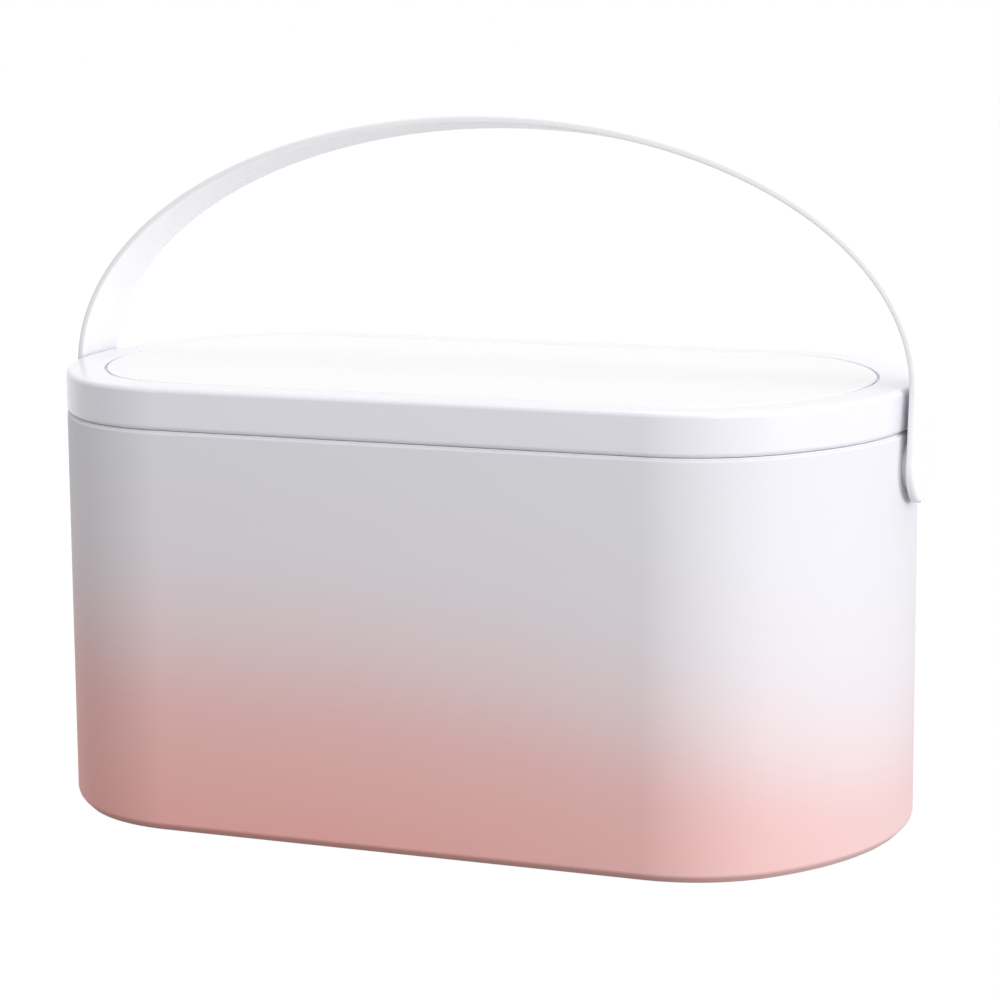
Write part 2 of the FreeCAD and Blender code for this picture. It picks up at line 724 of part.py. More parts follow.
def hexagonal_bar(radius, length, base, direction):
    """A six-sided bar from a base point along a direction, with a corner towards +X."""
    corners = []
    for step in range(7):
        angle = math.pi / 3 * step
        corners.append(vector(radius.number * math.cos(angle), radius.number * math.sin(angle)))
    bar = Part.Face(Part.makePolygon(corners)).extrude(FreeCAD.Vector(0, 0, length.number))
    turn = FreeCAD.Rotation(FreeCAD.Vector(0, 0, 1), FreeCAD.Vector(*direction))
    bar.Placement = FreeCAD.Placement(FreeCAD.Vector(*base), turn)
    return bar


def make_hinge_pins():
    low = size("leaf_length") * 0.5
    pins = []
    for side in (-1, 1):
        start = (size("hinge_spread") * side - low).number
        base = (start, hinge_axis_y.number, size("seam_height").number)
        pins.append(cylinder(size("hinge_pin_radius"), size("leaf_length"), base, (1, 0, 0)))
    group("hinge_pins", pins)


def make_hinge_screws(label, places):
    """Hexagon screws through a leaf into the back wall."""
    screws = []
    face = (size("half_width") + size("leaf_thickness")).number
    shank_length = size("leaf_thickness") + size("hinge_screw_bite")
    for x, z in places:
        base = (x.number, face, z.number)
        head = hexagonal_bar(size("hinge_screw_head_radius"), size("hinge_screw_head_height"), base, (0, 1, 0))
        shank = hexagonal_bar(size("hinge_screw_radius"), shank_length, base, (0, -1, 0))
        screws.append(head.fuse(shank).removeSplitter())
    group(label, screws)


def make_bezel_screws():
    """Hexagon screws driven up through the bezel into the posts of the lid."""
    screws = []
    for x, y in screw_points:
        base = (x.number, y.number, bezel_bottom.number)
        head = hexagonal_bar(size("screw_head_radius"), size("screw_head_height"), base, (0, 0, 1))
        shank_length = size("bezel_height") + size("screw_bite")
        shank = hexagonal_bar(size("screw_radius"), shank_length, base, (0, 0, 1))
        screws.append(head.fuse(shank).removeSplitter())
    group("bezel_screws", screws)


def make_magnets():
    body_base = body_top - size("magnet_rim_drop") - size("magnet_height")
    half, height = size("magnet_half_side").number, size("magnet_height").number
    for label, base in (("catch_magnets_body", body_base), ("catch_magnets_lid", bezel_bottom)):
        blocks = []
        for x, y in magnet_points:
            corner = FreeCAD.Vector(x.number - half, y.number - half, base.number)
            blocks.append(Part.makeBox(2 * half, 2 * half, height, corner))
        group(label, blocks)


def outline_places(inset, count):
    """Evenly spaced places and directions along the outline drawn inwards by the inset."""
    x, y, corner, end_centre, end = outline_numbers(inset)
    turn = math.atan2(y, x - end_centre)
    quarter, half = math.pi / 2, math.pi
    runs = [
        (2 * x, None, (-x, -y - corner), 0.0),
        (corner * (quarter - turn), corner, (x, -y), -quarter),
        (end * 2 * turn, end, (end_centre, 0.0), -turn),
        (corner * (quarter - turn), corner, (x, y), turn),
        (2 * x, None, (x, y + corner), half),
        (corner * (quarter - turn), corner, (-x, y), quarter),
        (end * 2 * turn, end, (-end_centre, 0.0), half - turn),
        (corner * (quarter - turn), corner, (-x, -y), half + turn),
    ]
    step = sum(run[0] for run in runs) / count
    places = []
    passed = 0.0
    for length, radius, start, angle in runs:
        while len(places) * step < passed + length - 1e-9 and len(places) < count:
            along = len(places) * step - passed
            if radius is None:
                places.append((start[0] + along * math.cos(angle), start[1], angle))
            else:
                now = angle + along / radius
                places.append((start[0] + radius * math.cos(now), start[1] + radius * math.sin(now), now + quarter))
        passed += length
    return places


def make_led_chips():
    """Small light chips in a row round the strip, on its underside."""
    side, height = size("chip_size").number, size("chip_height").number
    middle = size("light_outer_inset").number + size("light_width").number / 2
    chips = []
    for x, y, angle in outline_places(middle, round(size("chip_count").number)):
        chip = Part.makeBox(side, side, height, FreeCAD.Vector(-side / 2, -side / 2, 0))
        chip.rotate(FreeCAD.Vector(), FreeCAD.Vector(0, 0, 1), math.degrees(angle))
        chip.translate(FreeCAD.Vector(x, y, strip_bottom.number - height))
        chips.append(chip)
    group("led_chips", chips)


def make_light_and_mirror():
    gap = size("glass_gap")
    outer = size("light_outer_inset") + gap
    outline_body("light_diffuser", bezel_bottom, size("glass_thickness"), outer, light_inner_inset - gap)
    outline_body("mirror_glass", bezel_bottom, size("glass_thickness"), size("glass_inset") + gap)
    margin = size("light_ledge") + size("strip_margin")
    strip_outer = size("light_outer_inset") + margin
    outline_body("led_strip", strip_bottom, size("strip_thickness"), strip_outer, light_inner_inset - margin)


def make_electrics():
    half = size("battery_width") * 0.5
    low = size("battery_offset") - size("battery_length") * 0.5
    high = size("battery_offset") + size("battery_length") * 0.5
    block_body("battery", low, high, -half, half, hollow_floor, size("battery_height"))
    board_back = size("half_width") - size("lid_wall") - size("bezel_gap") * 2
    half = size("board_length") * 0.5
    board_front = board_back - size("board_width")
    block_body("control_board", -half, half, board_front, board_back, bezel_top, size("board_thickness"))
    port_bottom = bezel_top + size("board_thickness")
    port_back = size("half_width") - size("port_clearance")
    half = size("port_width") * 0.5
    port = new_body("usb_port")
    sketch = new_sketch(port, "XZ_Plane", -port_back)
    add_rectangle(sketch, -half, half, port_bottom, port_bottom + size("port_height"))
    pad(sketch, size("port_depth"))
    sensor = new_body("touch_sensor")
    sketch = new_sketch(sensor, "XY_Plane", hollow_floor)
    half = size("sensor_half_side")
    sensor_y = size("half_width") - size("bay_inset") - size("sensor_edge_gap") - half
    add_rectangle(sketch, -half, half, sensor_y - half, sensor_y + half)
    pad(sketch, size("sensor_height"))


def wall_reach(across):
    """How far the inner end wall lies from the middle, at a place across the case."""
    x, y, corner, end_centre, end = outline_numbers(size("wall").number)
    if abs(across) * (x - end_centre) < y * (end + end_centre - x):
        return end_centre + math.sqrt(end**2 - across**2)
    return x + math.sqrt(corner**2 - (abs(across) - y) ** 2)


def make_dividers():
    """A long divider and two cross dividers, halved into each other where they meet."""
    bottom = floor_top + size("mat_thickness")
    half_thick = size("divider_thickness") * 0.5
    half_height = size("divider_height") * 0.5
    slot = half_thick + size("divider_slot_gap")
    reach = as_size(wall_reach(SIZES["long_divider_offset"] + SIZES["divider_thickness"])) - size("divider_gap")
    body = new_body("divider_long")
    sketch = new_sketch(body, "XZ_Plane", -(size("long_divider_offset") + half_thick))
    add_rectangle(sketch, -reach, reach, bottom, bottom + size("divider_height"))
    pad(sketch, size("divider_thickness"))
    for side in (-1, 1):
        x = size("cross_divider_spread") * side
        cut = new_sketch(body, "XZ_Plane", -(size("long_divider_offset") - half_thick))
        add_rectangle(cut, x - slot, x + slot, bottom, bottom + half_height)
        pocket(cut, size("divider_thickness"))
    inside = size("half_width") - size("wall") - size("divider_gap")
    for name, side in (("left", -1), ("right", 1)):
        body = new_body(f"divider_cross_{name}")
        sketch = new_sketch(body, "YZ_Plane", size("cross_divider_spread") * side - half_thick)
        add_rectangle(sketch, -inside, inside, bottom, bottom + size("divider_height"))
        pad(sketch, size("divider_thickness"))
        cut = new_sketch(body, "YZ_Plane", size("cross_divider_spread") * side + half_thick)
        low, high = size("long_divider_offset") - slot, size("long_divider_offset") + slot
        add_rectangle(cut, low, high, bottom + half_height, bottom + size("divider_height"))
        pocket(cut, size("divider_thickness"))


def make_case():
    make_body_shell()
    outline_body("base_pad", NOTHING, size("pad_thickness"), size("pad_inset") + size("fit_clearance"))
    outline_body("floor_mat", floor_top, size("mat_thickness"), size("wall") + size("mat_gap"))
    make_dividers()


def make_lid():
    make_lid_shell()
    panel_bottom = lid_top - size("panel_depth")
    outline_body("lid_top_panel", panel_bottom, size("panel_depth"), size("panel_inset") + size("panel_groove"))
    make_mirror_bezel()
    make_light_and_mirror()
    make_led_chips()
    make_electrics()
    make_bezel_screws()


def make_hinges():
    for name, side in (("left", -1), ("right", 1)):
        make_hinge_leaf(f"hinge_body_leaf_{name}", side, on_lid=False)
        make_hinge_leaf(f"hinge_lid_leaf_{name}", side, on_lid=True)
    make_hinge_pins()
    make_hinge_screws("hinge_body_screws", BODY_SCREWS)
    make_hinge_screws("hinge_lid_screws", LID_SCREWS)


make_case()
make_lid()
make_hinges()
make_magnets()
make_handle()
make_pivots()
doc.recompute()

for item in doc.Objects:
    if "Invalid" in item.State or "Error" in item.State:
        raise ValueError(f"{item.Label} failed to build: {item.State}")

os.makedirs("parts", exist_ok=True)
SUB_PARTS = [item for item in doc.Objects if item.TypeId in ("PartDesign::Body", "Part::Feature")]
for item in SUB_PARTS:
    if item.Shape.isNull() or not item.Shape.isValid():
        raise ValueError(f"{item.Label} has no valid shape")
for item in SUB_PARTS:
    item.Shape.exportStep(f"parts/{item.Label}.step")
    solids = len(item.Shape.Solids)
    print(f"{item.Label}: {solids} solids, {item.Shape.Volume:.1f} mm3")
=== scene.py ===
# %% [markdown]
# # A lighted vanity case in white and sprayed pink
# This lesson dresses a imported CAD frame: an oval case with a hinged mirror lid and an arched handle.
# The frame holds every piece at its real size and place, in metres, with +Z up and the front facing -Y.
# Each cell models one piece or mixes one finish, so it can be read and tried by itself.

# %% Load the frame and keep its box
import math

import bpy
from mathutils import Matrix, Vector


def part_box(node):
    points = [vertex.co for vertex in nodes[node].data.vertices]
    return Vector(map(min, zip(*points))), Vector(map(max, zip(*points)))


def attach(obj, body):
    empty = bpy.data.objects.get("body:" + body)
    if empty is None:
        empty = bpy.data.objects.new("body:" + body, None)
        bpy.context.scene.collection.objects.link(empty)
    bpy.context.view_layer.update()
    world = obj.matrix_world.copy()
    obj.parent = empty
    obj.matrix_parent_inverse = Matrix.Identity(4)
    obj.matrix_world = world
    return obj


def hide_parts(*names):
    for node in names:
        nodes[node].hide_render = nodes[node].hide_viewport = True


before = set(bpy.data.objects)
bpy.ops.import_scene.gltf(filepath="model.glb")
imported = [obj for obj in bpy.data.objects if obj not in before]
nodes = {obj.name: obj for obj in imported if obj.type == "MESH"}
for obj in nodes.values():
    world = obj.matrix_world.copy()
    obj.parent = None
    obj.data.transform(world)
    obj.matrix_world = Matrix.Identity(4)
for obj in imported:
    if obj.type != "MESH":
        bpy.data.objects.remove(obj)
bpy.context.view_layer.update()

# %% [markdown]
# The sizes of new pieces come from the frame, so that they land exactly on the CAD.
# Only what a box can't tell is written here: the radius of the round corners, how far the ends
# bow out, and the small roundings that a mould leaves.

# %% Read the sizes from the frame
MM = 0.001
shell_low, shell_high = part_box("body_shell")
lid_low, lid_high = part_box("lid_shell")
panel_low, panel_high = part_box("lid_top_panel")
pad_low, pad_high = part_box("base_pad")
pin_low, pin_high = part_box("pivot_pin_right")
half_length = shell_high.x
half_width = shell_high.y
corner_radius = 49.0 * MM
end_bow = 11.2 * MM
straight_half = half_length - corner_radius - end_bow
corner_offset = half_width - corner_radius
corner_reach = half_length - corner_radius
end_centre = (corner_reach**2 - straight_half**2 - corner_offset**2) / (2 * end_bow)
end_turn = math.atan2(corner_offset, straight_half - end_centre)
corner_turn = math.pi / 2 - end_turn
pivot_height = (pin_low.z + pin_high.z) / 2
print("case", round(half_length * 2, 3), "x", round(half_width * 2, 3), "pivot at", round(pivot_height, 4))

# %% [markdown]
# ## Modelling tools
# Every operator acts on what is selected, so the helpers below select by place: they switch to
# object mode, mark the edges or faces that pass a test, and go back to edit mode.

# %% Helpers that select and finish
def deselect_everything():
    if bpy.context.mode != "OBJECT":
        bpy.ops.object.mode_set(mode="OBJECT")
    bpy.ops.object.select_all(action="DESELECT")
    bpy.context.tool_settings.mesh_select_mode = (True, False, False)


def make_active(piece):
    deselect_everything()
    piece.select_set(True)
    bpy.context.view_layer.objects.active = piece


def select_parts(piece, kind, wanted):
    """Selects the vertices, edges or faces whose points all pass the test, and enters edit mode."""
    bpy.ops.object.mode_set(mode="OBJECT")
    mesh = piece.data
    modes = {"VERT": (True, False, False), "EDGE": (False, True, False), "FACE": (False, False, True)}
    bpy.context.tool_settings.mesh_select_mode = modes[kind]
    for group in (mesh.vertices, mesh.edges, mesh.polygons):
        group.foreach_set("select", [False] * len(group))
    chosen = 0
    if kind == "VERT":
        for vertex in mesh.vertices:
            vertex.select = wanted([vertex.co])
            chosen += vertex.select
    else:
        for part in mesh.edges if kind == "EDGE" else mesh.polygons:
            points = [mesh.vertices[index].co for index in part.vertices]
            part.select = wanted(points)
            if part.select:
                chosen += 1
                for index in part.vertices:
                    mesh.vertices[index].select = True
    bpy.ops.object.mode_set(mode="EDIT")
    return chosen


def all_at_height(height):
    return lambda points: all(abs(point.z - height) < 0.02 * MM for point in points)


def recalculate(piece):
    make_active(piece)
    bpy.ops.object.mode_set(mode="EDIT")
    bpy.ops.mesh.select_all(action="SELECT")
    bpy.ops.mesh.remove_doubles(threshold=0.001 * MM)
    bpy.ops.mesh.normals_make_consistent(inside=False)
    bpy.ops.object.mode_set(mode="OBJECT")


def apply_modifier(piece, kind, **settings):
    make_active(piece)
    modifier = piece.modifiers.new(kind.title(), kind)
    for name, value in settings.items():
        setattr(modifier, name, value)
    bpy.ops.object.modifier_apply(modifier=modifier.name)


def shade(piece, degrees=32):
    make_active(piece)
    bpy.ops.object.shade_smooth_by_angle(angle=math.radians(degrees))
    apply_modifier(piece, "WEIGHTED_NORMAL", keep_sharp=True)


def finish_piece(piece, material, body, *replaced, slot=None):
    piece.data.materials.clear()
    piece.data.materials.append(material)
    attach(piece, body)
    if replaced:
        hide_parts(*replaced)
    print(piece.name, len(piece.data.polygons), "faces on", body)


def cut_or_join(piece, tool, operation):
    """Cuts one piece out of another, or melts it in, and removes the tool."""
    apply_modifier(piece, "BOOLEAN", object=tool, operation=operation, solver="EXACT")
    bpy.data.objects.remove(tool, do_unlink=True)


def round_block(name, low, high, radius=0.0, segments=4, along="Z"):
    """A block between two corners, with the four edges that run along one axis made round."""
    deselect_everything()
    bpy.ops.mesh.primitive_cube_add(size=1.0, location=[(a + b) / 2 for a, b in zip(low, high)])
    block = bpy.context.active_object
    block.name = block.data.name = name
    block.scale = [b - a for a, b in zip(low, high)]
    bpy.ops.object.transform_apply(location=True, rotation=False, scale=True)
    if radius:
        axis = "XYZ".index(along)
        select_parts(block, "EDGE", lambda points: abs(points[0][axis] - points[1][axis]) > 0.01 * MM)
        bpy.ops.mesh.bevel(offset=radius, segments=segments, profile=0.5, affect="EDGES")
        bpy.ops.object.mode_set(mode="OBJECT")
    return block


def round_bar(name, low, high, radius, sides=48):
    """A cylinder along X between two places, on the pivots' height."""
    deselect_everything()
    bpy.ops.mesh.primitive_cylinder_add(
        vertices=sides, radius=radius, depth=abs(high - low),
        location=((low + high) / 2, 0, pivot_height), rotation=(0, math.pi / 2, 0),
    )
    bar = bpy.context.active_object
    bar.name = bar.data.name = name
    bpy.ops.object.transform_apply(location=True, rotation=True, scale=False)
    return bar


def join_pieces(pieces, name):
    make_active(pieces[0])
    for piece in pieces:
        piece.select_set(True)
    bpy.ops.object.join()
    pieces[0].name = pieces[0].data.name = name
    return pieces[0]


# %% [markdown]
# ## The outline
# Seen from above, the case has straight sides, round corners and gently bowed ends. One quarter is
# drawn as by hand: a point, an extruded line, and two spins about the centres of the two arcs.
# Two mirrors make the other three quarters. Every ring of the case is this outline moved inwards.

# %% Draw the outline at an inset
CORNER_STEPS = 22
END_STEPS = 18


def outline_plate(name, inset, height):
    """A flat face of the outline's shape, drawn inwards by the inset."""
    deselect_everything()
    bpy.ops.mesh.primitive_plane_add(size=MM, location=(0, -(half_width - inset), height))
    piece = bpy.context.active_object
    piece.name = piece.data.name = name
    bpy.ops.object.transform_apply(location=True, rotation=False, scale=False)
    bpy.ops.object.mode_set(mode="EDIT")
    bpy.ops.mesh.select_all(action="SELECT")
    bpy.ops.mesh.merge(type="CENTER")
    bpy.ops.mesh.extrude_region_move(TRANSFORM_OT_translate={"value": (straight_half, 0, 0)})
    corner_centre = (straight_half, -corner_offset, height)
    bpy.ops.mesh.spin(steps=CORNER_STEPS, angle=-corner_turn, center=corner_centre, axis=(0, 0, 1))
    bpy.ops.mesh.spin(steps=END_STEPS, angle=-end_turn, center=(end_centre, 0, height), axis=(0, 0, 1))
    bpy.ops.object.mode_set(mode="OBJECT")
    apply_modifier(piece, "MIRROR", use_axis=(True, True, False), merge_threshold=0.01 * MM)
    bpy.ops.object.mode_set(mode="EDIT")
    bpy.ops.mesh.select_all(action="SELECT")
    bpy.ops.mesh.remove_doubles(threshold=0.001 * MM)
    bpy.ops.mesh.edge_face_add()
    bpy.ops.object.mode_set(mode="OBJECT")
    return piece


def raise_plate(piece, thickness):
    make_active(piece)
    bpy.ops.object.mode_set(mode="EDIT")
    bpy.ops.mesh.select_all(action="SELECT")
    bpy.ops.mesh.extrude_region_move(TRANSFORM_OT_translate={"value": (0, 0, thickness)})
    bpy.ops.object.mode_set(mode="OBJECT")
    recalculate(piece)


def sink_face(piece, height, inset, depth):
    """Insets the widest flat face at a height and pushes it along Z: down with a negative depth."""
    level = [face for face in piece.data.polygons if abs(face.center.z - height) < 0.02 * MM]
    widest = max(level, key=lambda face: face.area).index
    make_active(piece)
    bpy.ops.object.mode_set(mode="EDIT")
    bpy.ops.mesh.select_all(action="DESELECT")
    bpy.context.tool_settings.mesh_select_mode = (False, False, True)
    bpy.ops.object.mode_set(mode="OBJECT")
    piece.data.polygons[widest].select = True
    bpy.ops.object.mode_set(mode="EDIT")
    bpy.ops.mesh.inset(thickness=inset, use_even_offset=True)
    bpy.ops.mesh.extrude_region_move(TRANSFORM_OT_translate={"value": (0, 0, depth)})
    bpy.ops.object.mode_set(mode="OBJECT")
    print(piece.name, "levels", sorted({round(vertex.co.z * 1000, 2) for vertex in piece.data.vertices}))


def inset_of(point):
    """How far inside the case's outline a point lies."""
    along, across = abs(point.x), abs(point.y)
    if along <= straight_half:
        return half_width - across
    if (along - end_centre) * corner_offset > across * (straight_half - end_centre):
        return half_length - end_centre - math.hypot(along - end_centre, across)
    return corner_radius - math.hypot(along - straight_half, across - corner_offset)


def ring_edges(height, inset):
    """Tests for the edges that run round the outline at a height and an inset."""
    level = all_at_height(height)
    return lambda points: level(points) and all(abs(inset_of(point) - inset) < 0.06 * MM for point in points)


def round_ring(piece, height, inset, radius, segments):
    chosen = select_parts(piece, "EDGE", ring_edges(height, inset))
    bpy.ops.mesh.bevel(offset=radius, offset_type="OFFSET", segments=segments, profile=0.5, affect="EDGES")
    bpy.ops.object.mode_set(mode="OBJECT")
    print(piece.name, "rounds", chosen, "edges at", round(height, 4))


# %% [markdown]
# ## Finishes
# The case is sprayed: white above, fading to a warm pink below, with the faint unevenness of a
# spray gun. The fade reads the height in Object coordinates, because every piece keeps its place
# in its mesh. Fine noise in the bump gives the paint its satin skin. The fade also tilts along X, which is painted
# light: a painted highlight pales the right end and painted shade deepens the pink at the left end.

# %% Small functions for node materials
def new_material(name, roughness, **sockets):
    material = bpy.data.materials.new(name)
    material.use_nodes = True
    shader = material.node_tree.nodes["Principled BSDF"]
    shader.inputs["Roughness"].default_value = roughness
    for socket, value in sockets.items():
        shader.inputs[socket.replace("_", " ")].default_value = value
    return material, material.node_tree, shader


def add_node(tree, kind, **values):
    node = tree.nodes.new(kind)
    for name, value in values.items():
        if name in node.inputs:
            node.inputs[name].default_value = value
        else:
            setattr(node, name, value)
    return node


def noise(tree, scale, detail=2.0, roughness=0.5):
    """Noise on Object coordinates, with its scale in turns per metre."""
    place = add_node(tree, "ShaderNodeTexCoord")
    texture = add_node(tree, "ShaderNodeTexNoise", Scale=scale, Detail=detail, Roughness=roughness)
    tree.links.new(place.outputs["Object"], texture.inputs["Vector"])
    return texture


def add_bump(tree, shader, texture, strength, distance):
    bump = add_node(tree, "ShaderNodeBump", Strength=strength, Distance=distance)
    tree.links.new(texture.outputs["Fac"], bump.inputs["Height"])
    tree.links.new(bump.outputs["Normal"], shader.inputs["Normal"])


def vary_roughness(tree, shader, texture, low, high):
    spread = add_node(tree, "ShaderNodeMapRange")
    spread.inputs["To Min"].default_value = low
    spread.inputs["To Max"].default_value = high
    tree.links.new(texture.outputs["Fac"], spread.inputs["Value"])
    tree.links.new(spread.outputs["Result"], shader.inputs["Roughness"])


def plain_finish(name, colour, low, high, grain, bump, **sockets):
    """One colour with slight patches in tone, uneven gloss and a fine grain."""
    material, tree, shader = new_material(name, (low + high) / 2, **sockets)
    patches = noise(tree, 14.0, 3.0)
    tone = add_node(tree, "ShaderNodeMix", data_type="RGBA")
    darker = [channel * 0.975 for channel in colour]
    tone_inputs = [socket for socket in tone.inputs if socket.type == "RGBA"]
    tone_inputs[0].default_value = (*darker, 1)
    tone_inputs[1].default_value = (*colour, 1)
    tree.links.new(patches.outputs["Fac"], tone.inputs["Factor"])
    mixed = [socket for socket in tone.outputs if socket.type == "RGBA"][0]
    tree.links.new(mixed, shader.inputs["Base Color"])
    vary_roughness(tree, shader, noise(tree, 60.0, 4.0), low, high)
    add_bump(tree, shader, noise(tree, grain, 2.0), bump, 0.02 * MM)
    return material


# %% Mix the sprayed finish of the case
WHITE = (0.822, 0.815, 0.858)
PINK = (0.90, 0.43, 0.385)
FADE = (
    (0.00, 0.91),
    (0.10, 0.835),
    (0.20, 0.77),
    (0.30, 0.69),
    (0.40, 0.50),
    (0.50, 0.30),
    (0.60, 0.165),
    (0.70, 0.075),
    (0.82, 0.03),
    (0.94, 0.00),
)
# Painted light: the fade's edge tilts along X, with a painted highlight on the right end and painted shade on the
# left end.
PAINTED_LIGHT_TILT = (44.0, 5.2, 0.42)
# Painted highlight: the pink share is held lower and lower towards the right end, where the key light falls.
PAINTED_HIGHLIGHT_END = 2.8


def sprayed_finish_with_painted_light():
    """White over pink: the share of pink falls with height, and a slow noise bends the edge of the fade. The fade
    also tilts along X: a painted highlight pales the right end and painted shade deepens the pink at the left end.
    """
    material, tree, shader = new_material("sprayed_white_to_pink_painted_light", 0.5, Specular_IOR_Level=0.08)
    place = add_node(tree, "ShaderNodeTexCoord")
    split = add_node(tree, "ShaderNodeSeparateXYZ")
    tree.links.new(place.outputs["Object"], split.inputs["Vector"])
    rise = add_node(tree, "ShaderNodeMapRange", clamp=False)
    rise.inputs["From Min"].default_value = shell_low.z
    rise.inputs["From Max"].default_value = shell_high.z
    tree.links.new(split.outputs["Z"], rise.inputs["Value"])
    # Painted light: X tilts the fade, with painted highlight to the right and painted shade to the left.
    fade_with_painted_light = add_node(tree, "ShaderNodeMath", operation="MULTIPLY_ADD")
    fade_with_painted_light.inputs[1].default_value = PAINTED_LIGHT_TILT[0]
    fade_with_painted_light.inputs[2].default_value = PAINTED_LIGHT_TILT[1]
    tree.links.new(split.outputs["X"], fade_with_painted_light.inputs[0])
    for addend in (PAINTED_LIGHT_TILT[2], rise.outputs["Result"]):
        previous = fade_with_painted_light.outputs["Value"]
        fade_with_painted_light = add_node(tree, "ShaderNodeMath", operation="MULTIPLY_ADD")
        tree.links.new(split.outputs["X"], fade_with_painted_light.inputs[0])
        tree.links.new(previous, fade_with_painted_light.inputs[1])
        if isinstance(addend, float):
            fade_with_painted_light.inputs[2].default_value = addend
        else:
            tree.links.new(addend, fade_with_painted_light.inputs[2])
    cloud = noise(tree, 9.0, 2.0)
    wander = add_node(tree, "ShaderNodeMath", operation="MULTIPLY_ADD")
    wander.inputs[1].default_value = 0.07
    tree.links.new(cloud.outputs["Fac"], wander.inputs[0])
    tree.links.new(fade_with_painted_light.outputs["Value"], wander.inputs[2])
    centred = add_node(tree, "ShaderNodeMath", operation="SUBTRACT")
    centred.inputs[1].default_value = 0.035
    tree.links.new(wander.outputs["Value"], centred.inputs[0])
    # Painted highlight: the fade cannot fall below a level that rises towards the right end.
    painted_highlight_cap = add_node(tree, "ShaderNodeMath", operation="MULTIPLY")
    painted_highlight_cap.inputs[1].default_value = PAINTED_HIGHLIGHT_END
    tree.links.new(split.outputs["X"], painted_highlight_cap.inputs[0])
    level = add_node(tree, "ShaderNodeMath", operation="SMOOTH_MAX")
    level.inputs[2].default_value = 0.1
    tree.links.new(centred.outputs["Value"], level.inputs[0])
    tree.links.new(painted_highlight_cap.outputs["Value"], level.inputs[1])
    ramp = add_node(tree, "ShaderNodeValToRGB")
    ramp.color_ramp.interpolation = "B_SPLINE"
    elements = ramp.color_ramp.elements
    while len(elements) < len(FADE):
        elements.new(0.5)
    for element, (height, share) in zip(elements, FADE):
        element.position = height
        element.color = (*[w + (p - w) * share for w, p in zip(WHITE, PINK)], 1)
    tree.links.new(level.outputs["Value"], ramp.inputs["Fac"])
    tree.links.new(ramp.outputs["Color"], shader.inputs["Base Color"])
    vary_roughness(tree, shader, noise(tree, 40.0, 4.0), 0.46, 0.56)
    add_bump(tree, shader, noise(tree, 2600.0, 2.0), 0.12, 0.03 * MM)
    return material


case_paint_and_painted_light = sprayed_finish_with_painted_light()
lid_white = plain_finish("lid_gloss_white", (0.87, 0.862, 0.925), 0.16, 0.22, 900.0, 0.05, Coat_Weight=0.25)
panel_white = plain_finish("panel_gloss_white", (0.91, 0.91, 0.92), 0.10, 0.16, 900.0, 0.03, Coat_Weight=0.35)
handle_white = plain_finish(
    "handle_satin_white", (0.93, 0.93, 0.955), 0.36, 0.42, 700.0, 0.0, Specular_IOR_Level=0.2
)
inner_white = plain_finish("inner_matt_white", (0.84, 0.84, 0.85), 0.46, 0.58, 2200.0, 0.12)
foot_rubber = plain_finish("foot_pad_rubber", (0.62, 0.56, 0.56), 0.62, 0.78, 3200.0, 0.3)
mat_felt = plain_finish("floor_mat_felt", (0.78, 0.72, 0.72), 0.82, 0.95, 4200.0, 0.6)
mirror_silver = plain_finish("mirror_silvering", (0.93, 0.94, 0.95), 0.01, 0.02, 200.0, 0.0, Metallic=1.0)
frosted_acrylic = plain_finish("frosted_acrylic", (0.93, 0.92, 0.90), 0.42, 0.5, 3000.0, 0.1)
board_green = plain_finish("circuit_board_green", (0.06, 0.20, 0.10), 0.34, 0.44, 2600.0, 0.2)
cell_wrap = plain_finish("battery_film", (0.22, 0.34, 0.52), 0.22, 0.3, 1200.0, 0.1)
phosphor = plain_finish("light_chip_phosphor", (0.90, 0.78, 0.30), 0.3, 0.4, 3000.0, 0.1)
print(len(bpy.data.materials), "materials")

# %% [markdown]
# ## The case
# The real case is one deep moulding with a 3 mm wall. Here the outline is raised to the rim, its
# top face is inset by the wall and pushed down to the floor, and the edges are rounded with bevels:
# a wide one at the foot, a narrow one at the rim, where the photograph shows a bright line.

# %% Model the case's shell
WALL = 3.0 * MM
FLOOR_TOP = 4.5 * MM
FOOT_ROUND = 2.2 * MM
FOOT_LEVEL = pad_low.z + 0.3 * MM
RIM_ROUND = 0.8 * MM
LIP_INSET = 1.0 * MM
LIP_RISE = 0.42 * MM
case_shell = outline_plate("case_shell", 0.0, FOOT_LEVEL)
raise_plate(case_shell, shell_high.z - FOOT_LEVEL)
sink_face(case_shell, shell_high.z, LIP_INSET, LIP_RISE)
lip_top = shell_high.z + LIP_RISE
sink_face(case_shell, lip_top, WALL - LIP_INSET, FLOOR_TOP - lip_top)
sink_face(case_shell, FOOT_LEVEL, 10.0 * MM, pad_high.z - FOOT_LEVEL)
round_ring(case_shell, FOOT_LEVEL, 0.0, FOOT_ROUND, 1)
round_ring(case_shell, FOOT_LEVEL + FOOT_ROUND, 0.0, 0.7 * MM, 3)
round_ring(case_shell, shell_high.z, 0.0, RIM_ROUND, 4)
round_ring(case_shell, lip_top, WALL, 0.5 * MM, 3)
recalculate(case_shell)
print("case shell", len(case_shell.data.polygons), "faces")

# %% [markdown]
# Inside, the moulding carries a round boss behind each end wall, which holds the handle's bushing,
# and two small blocks at the front, which hold the magnets. Each is a primitive that is melted into
# the shell with a boolean, and the bores are cut the same way, because a mould makes them in one.

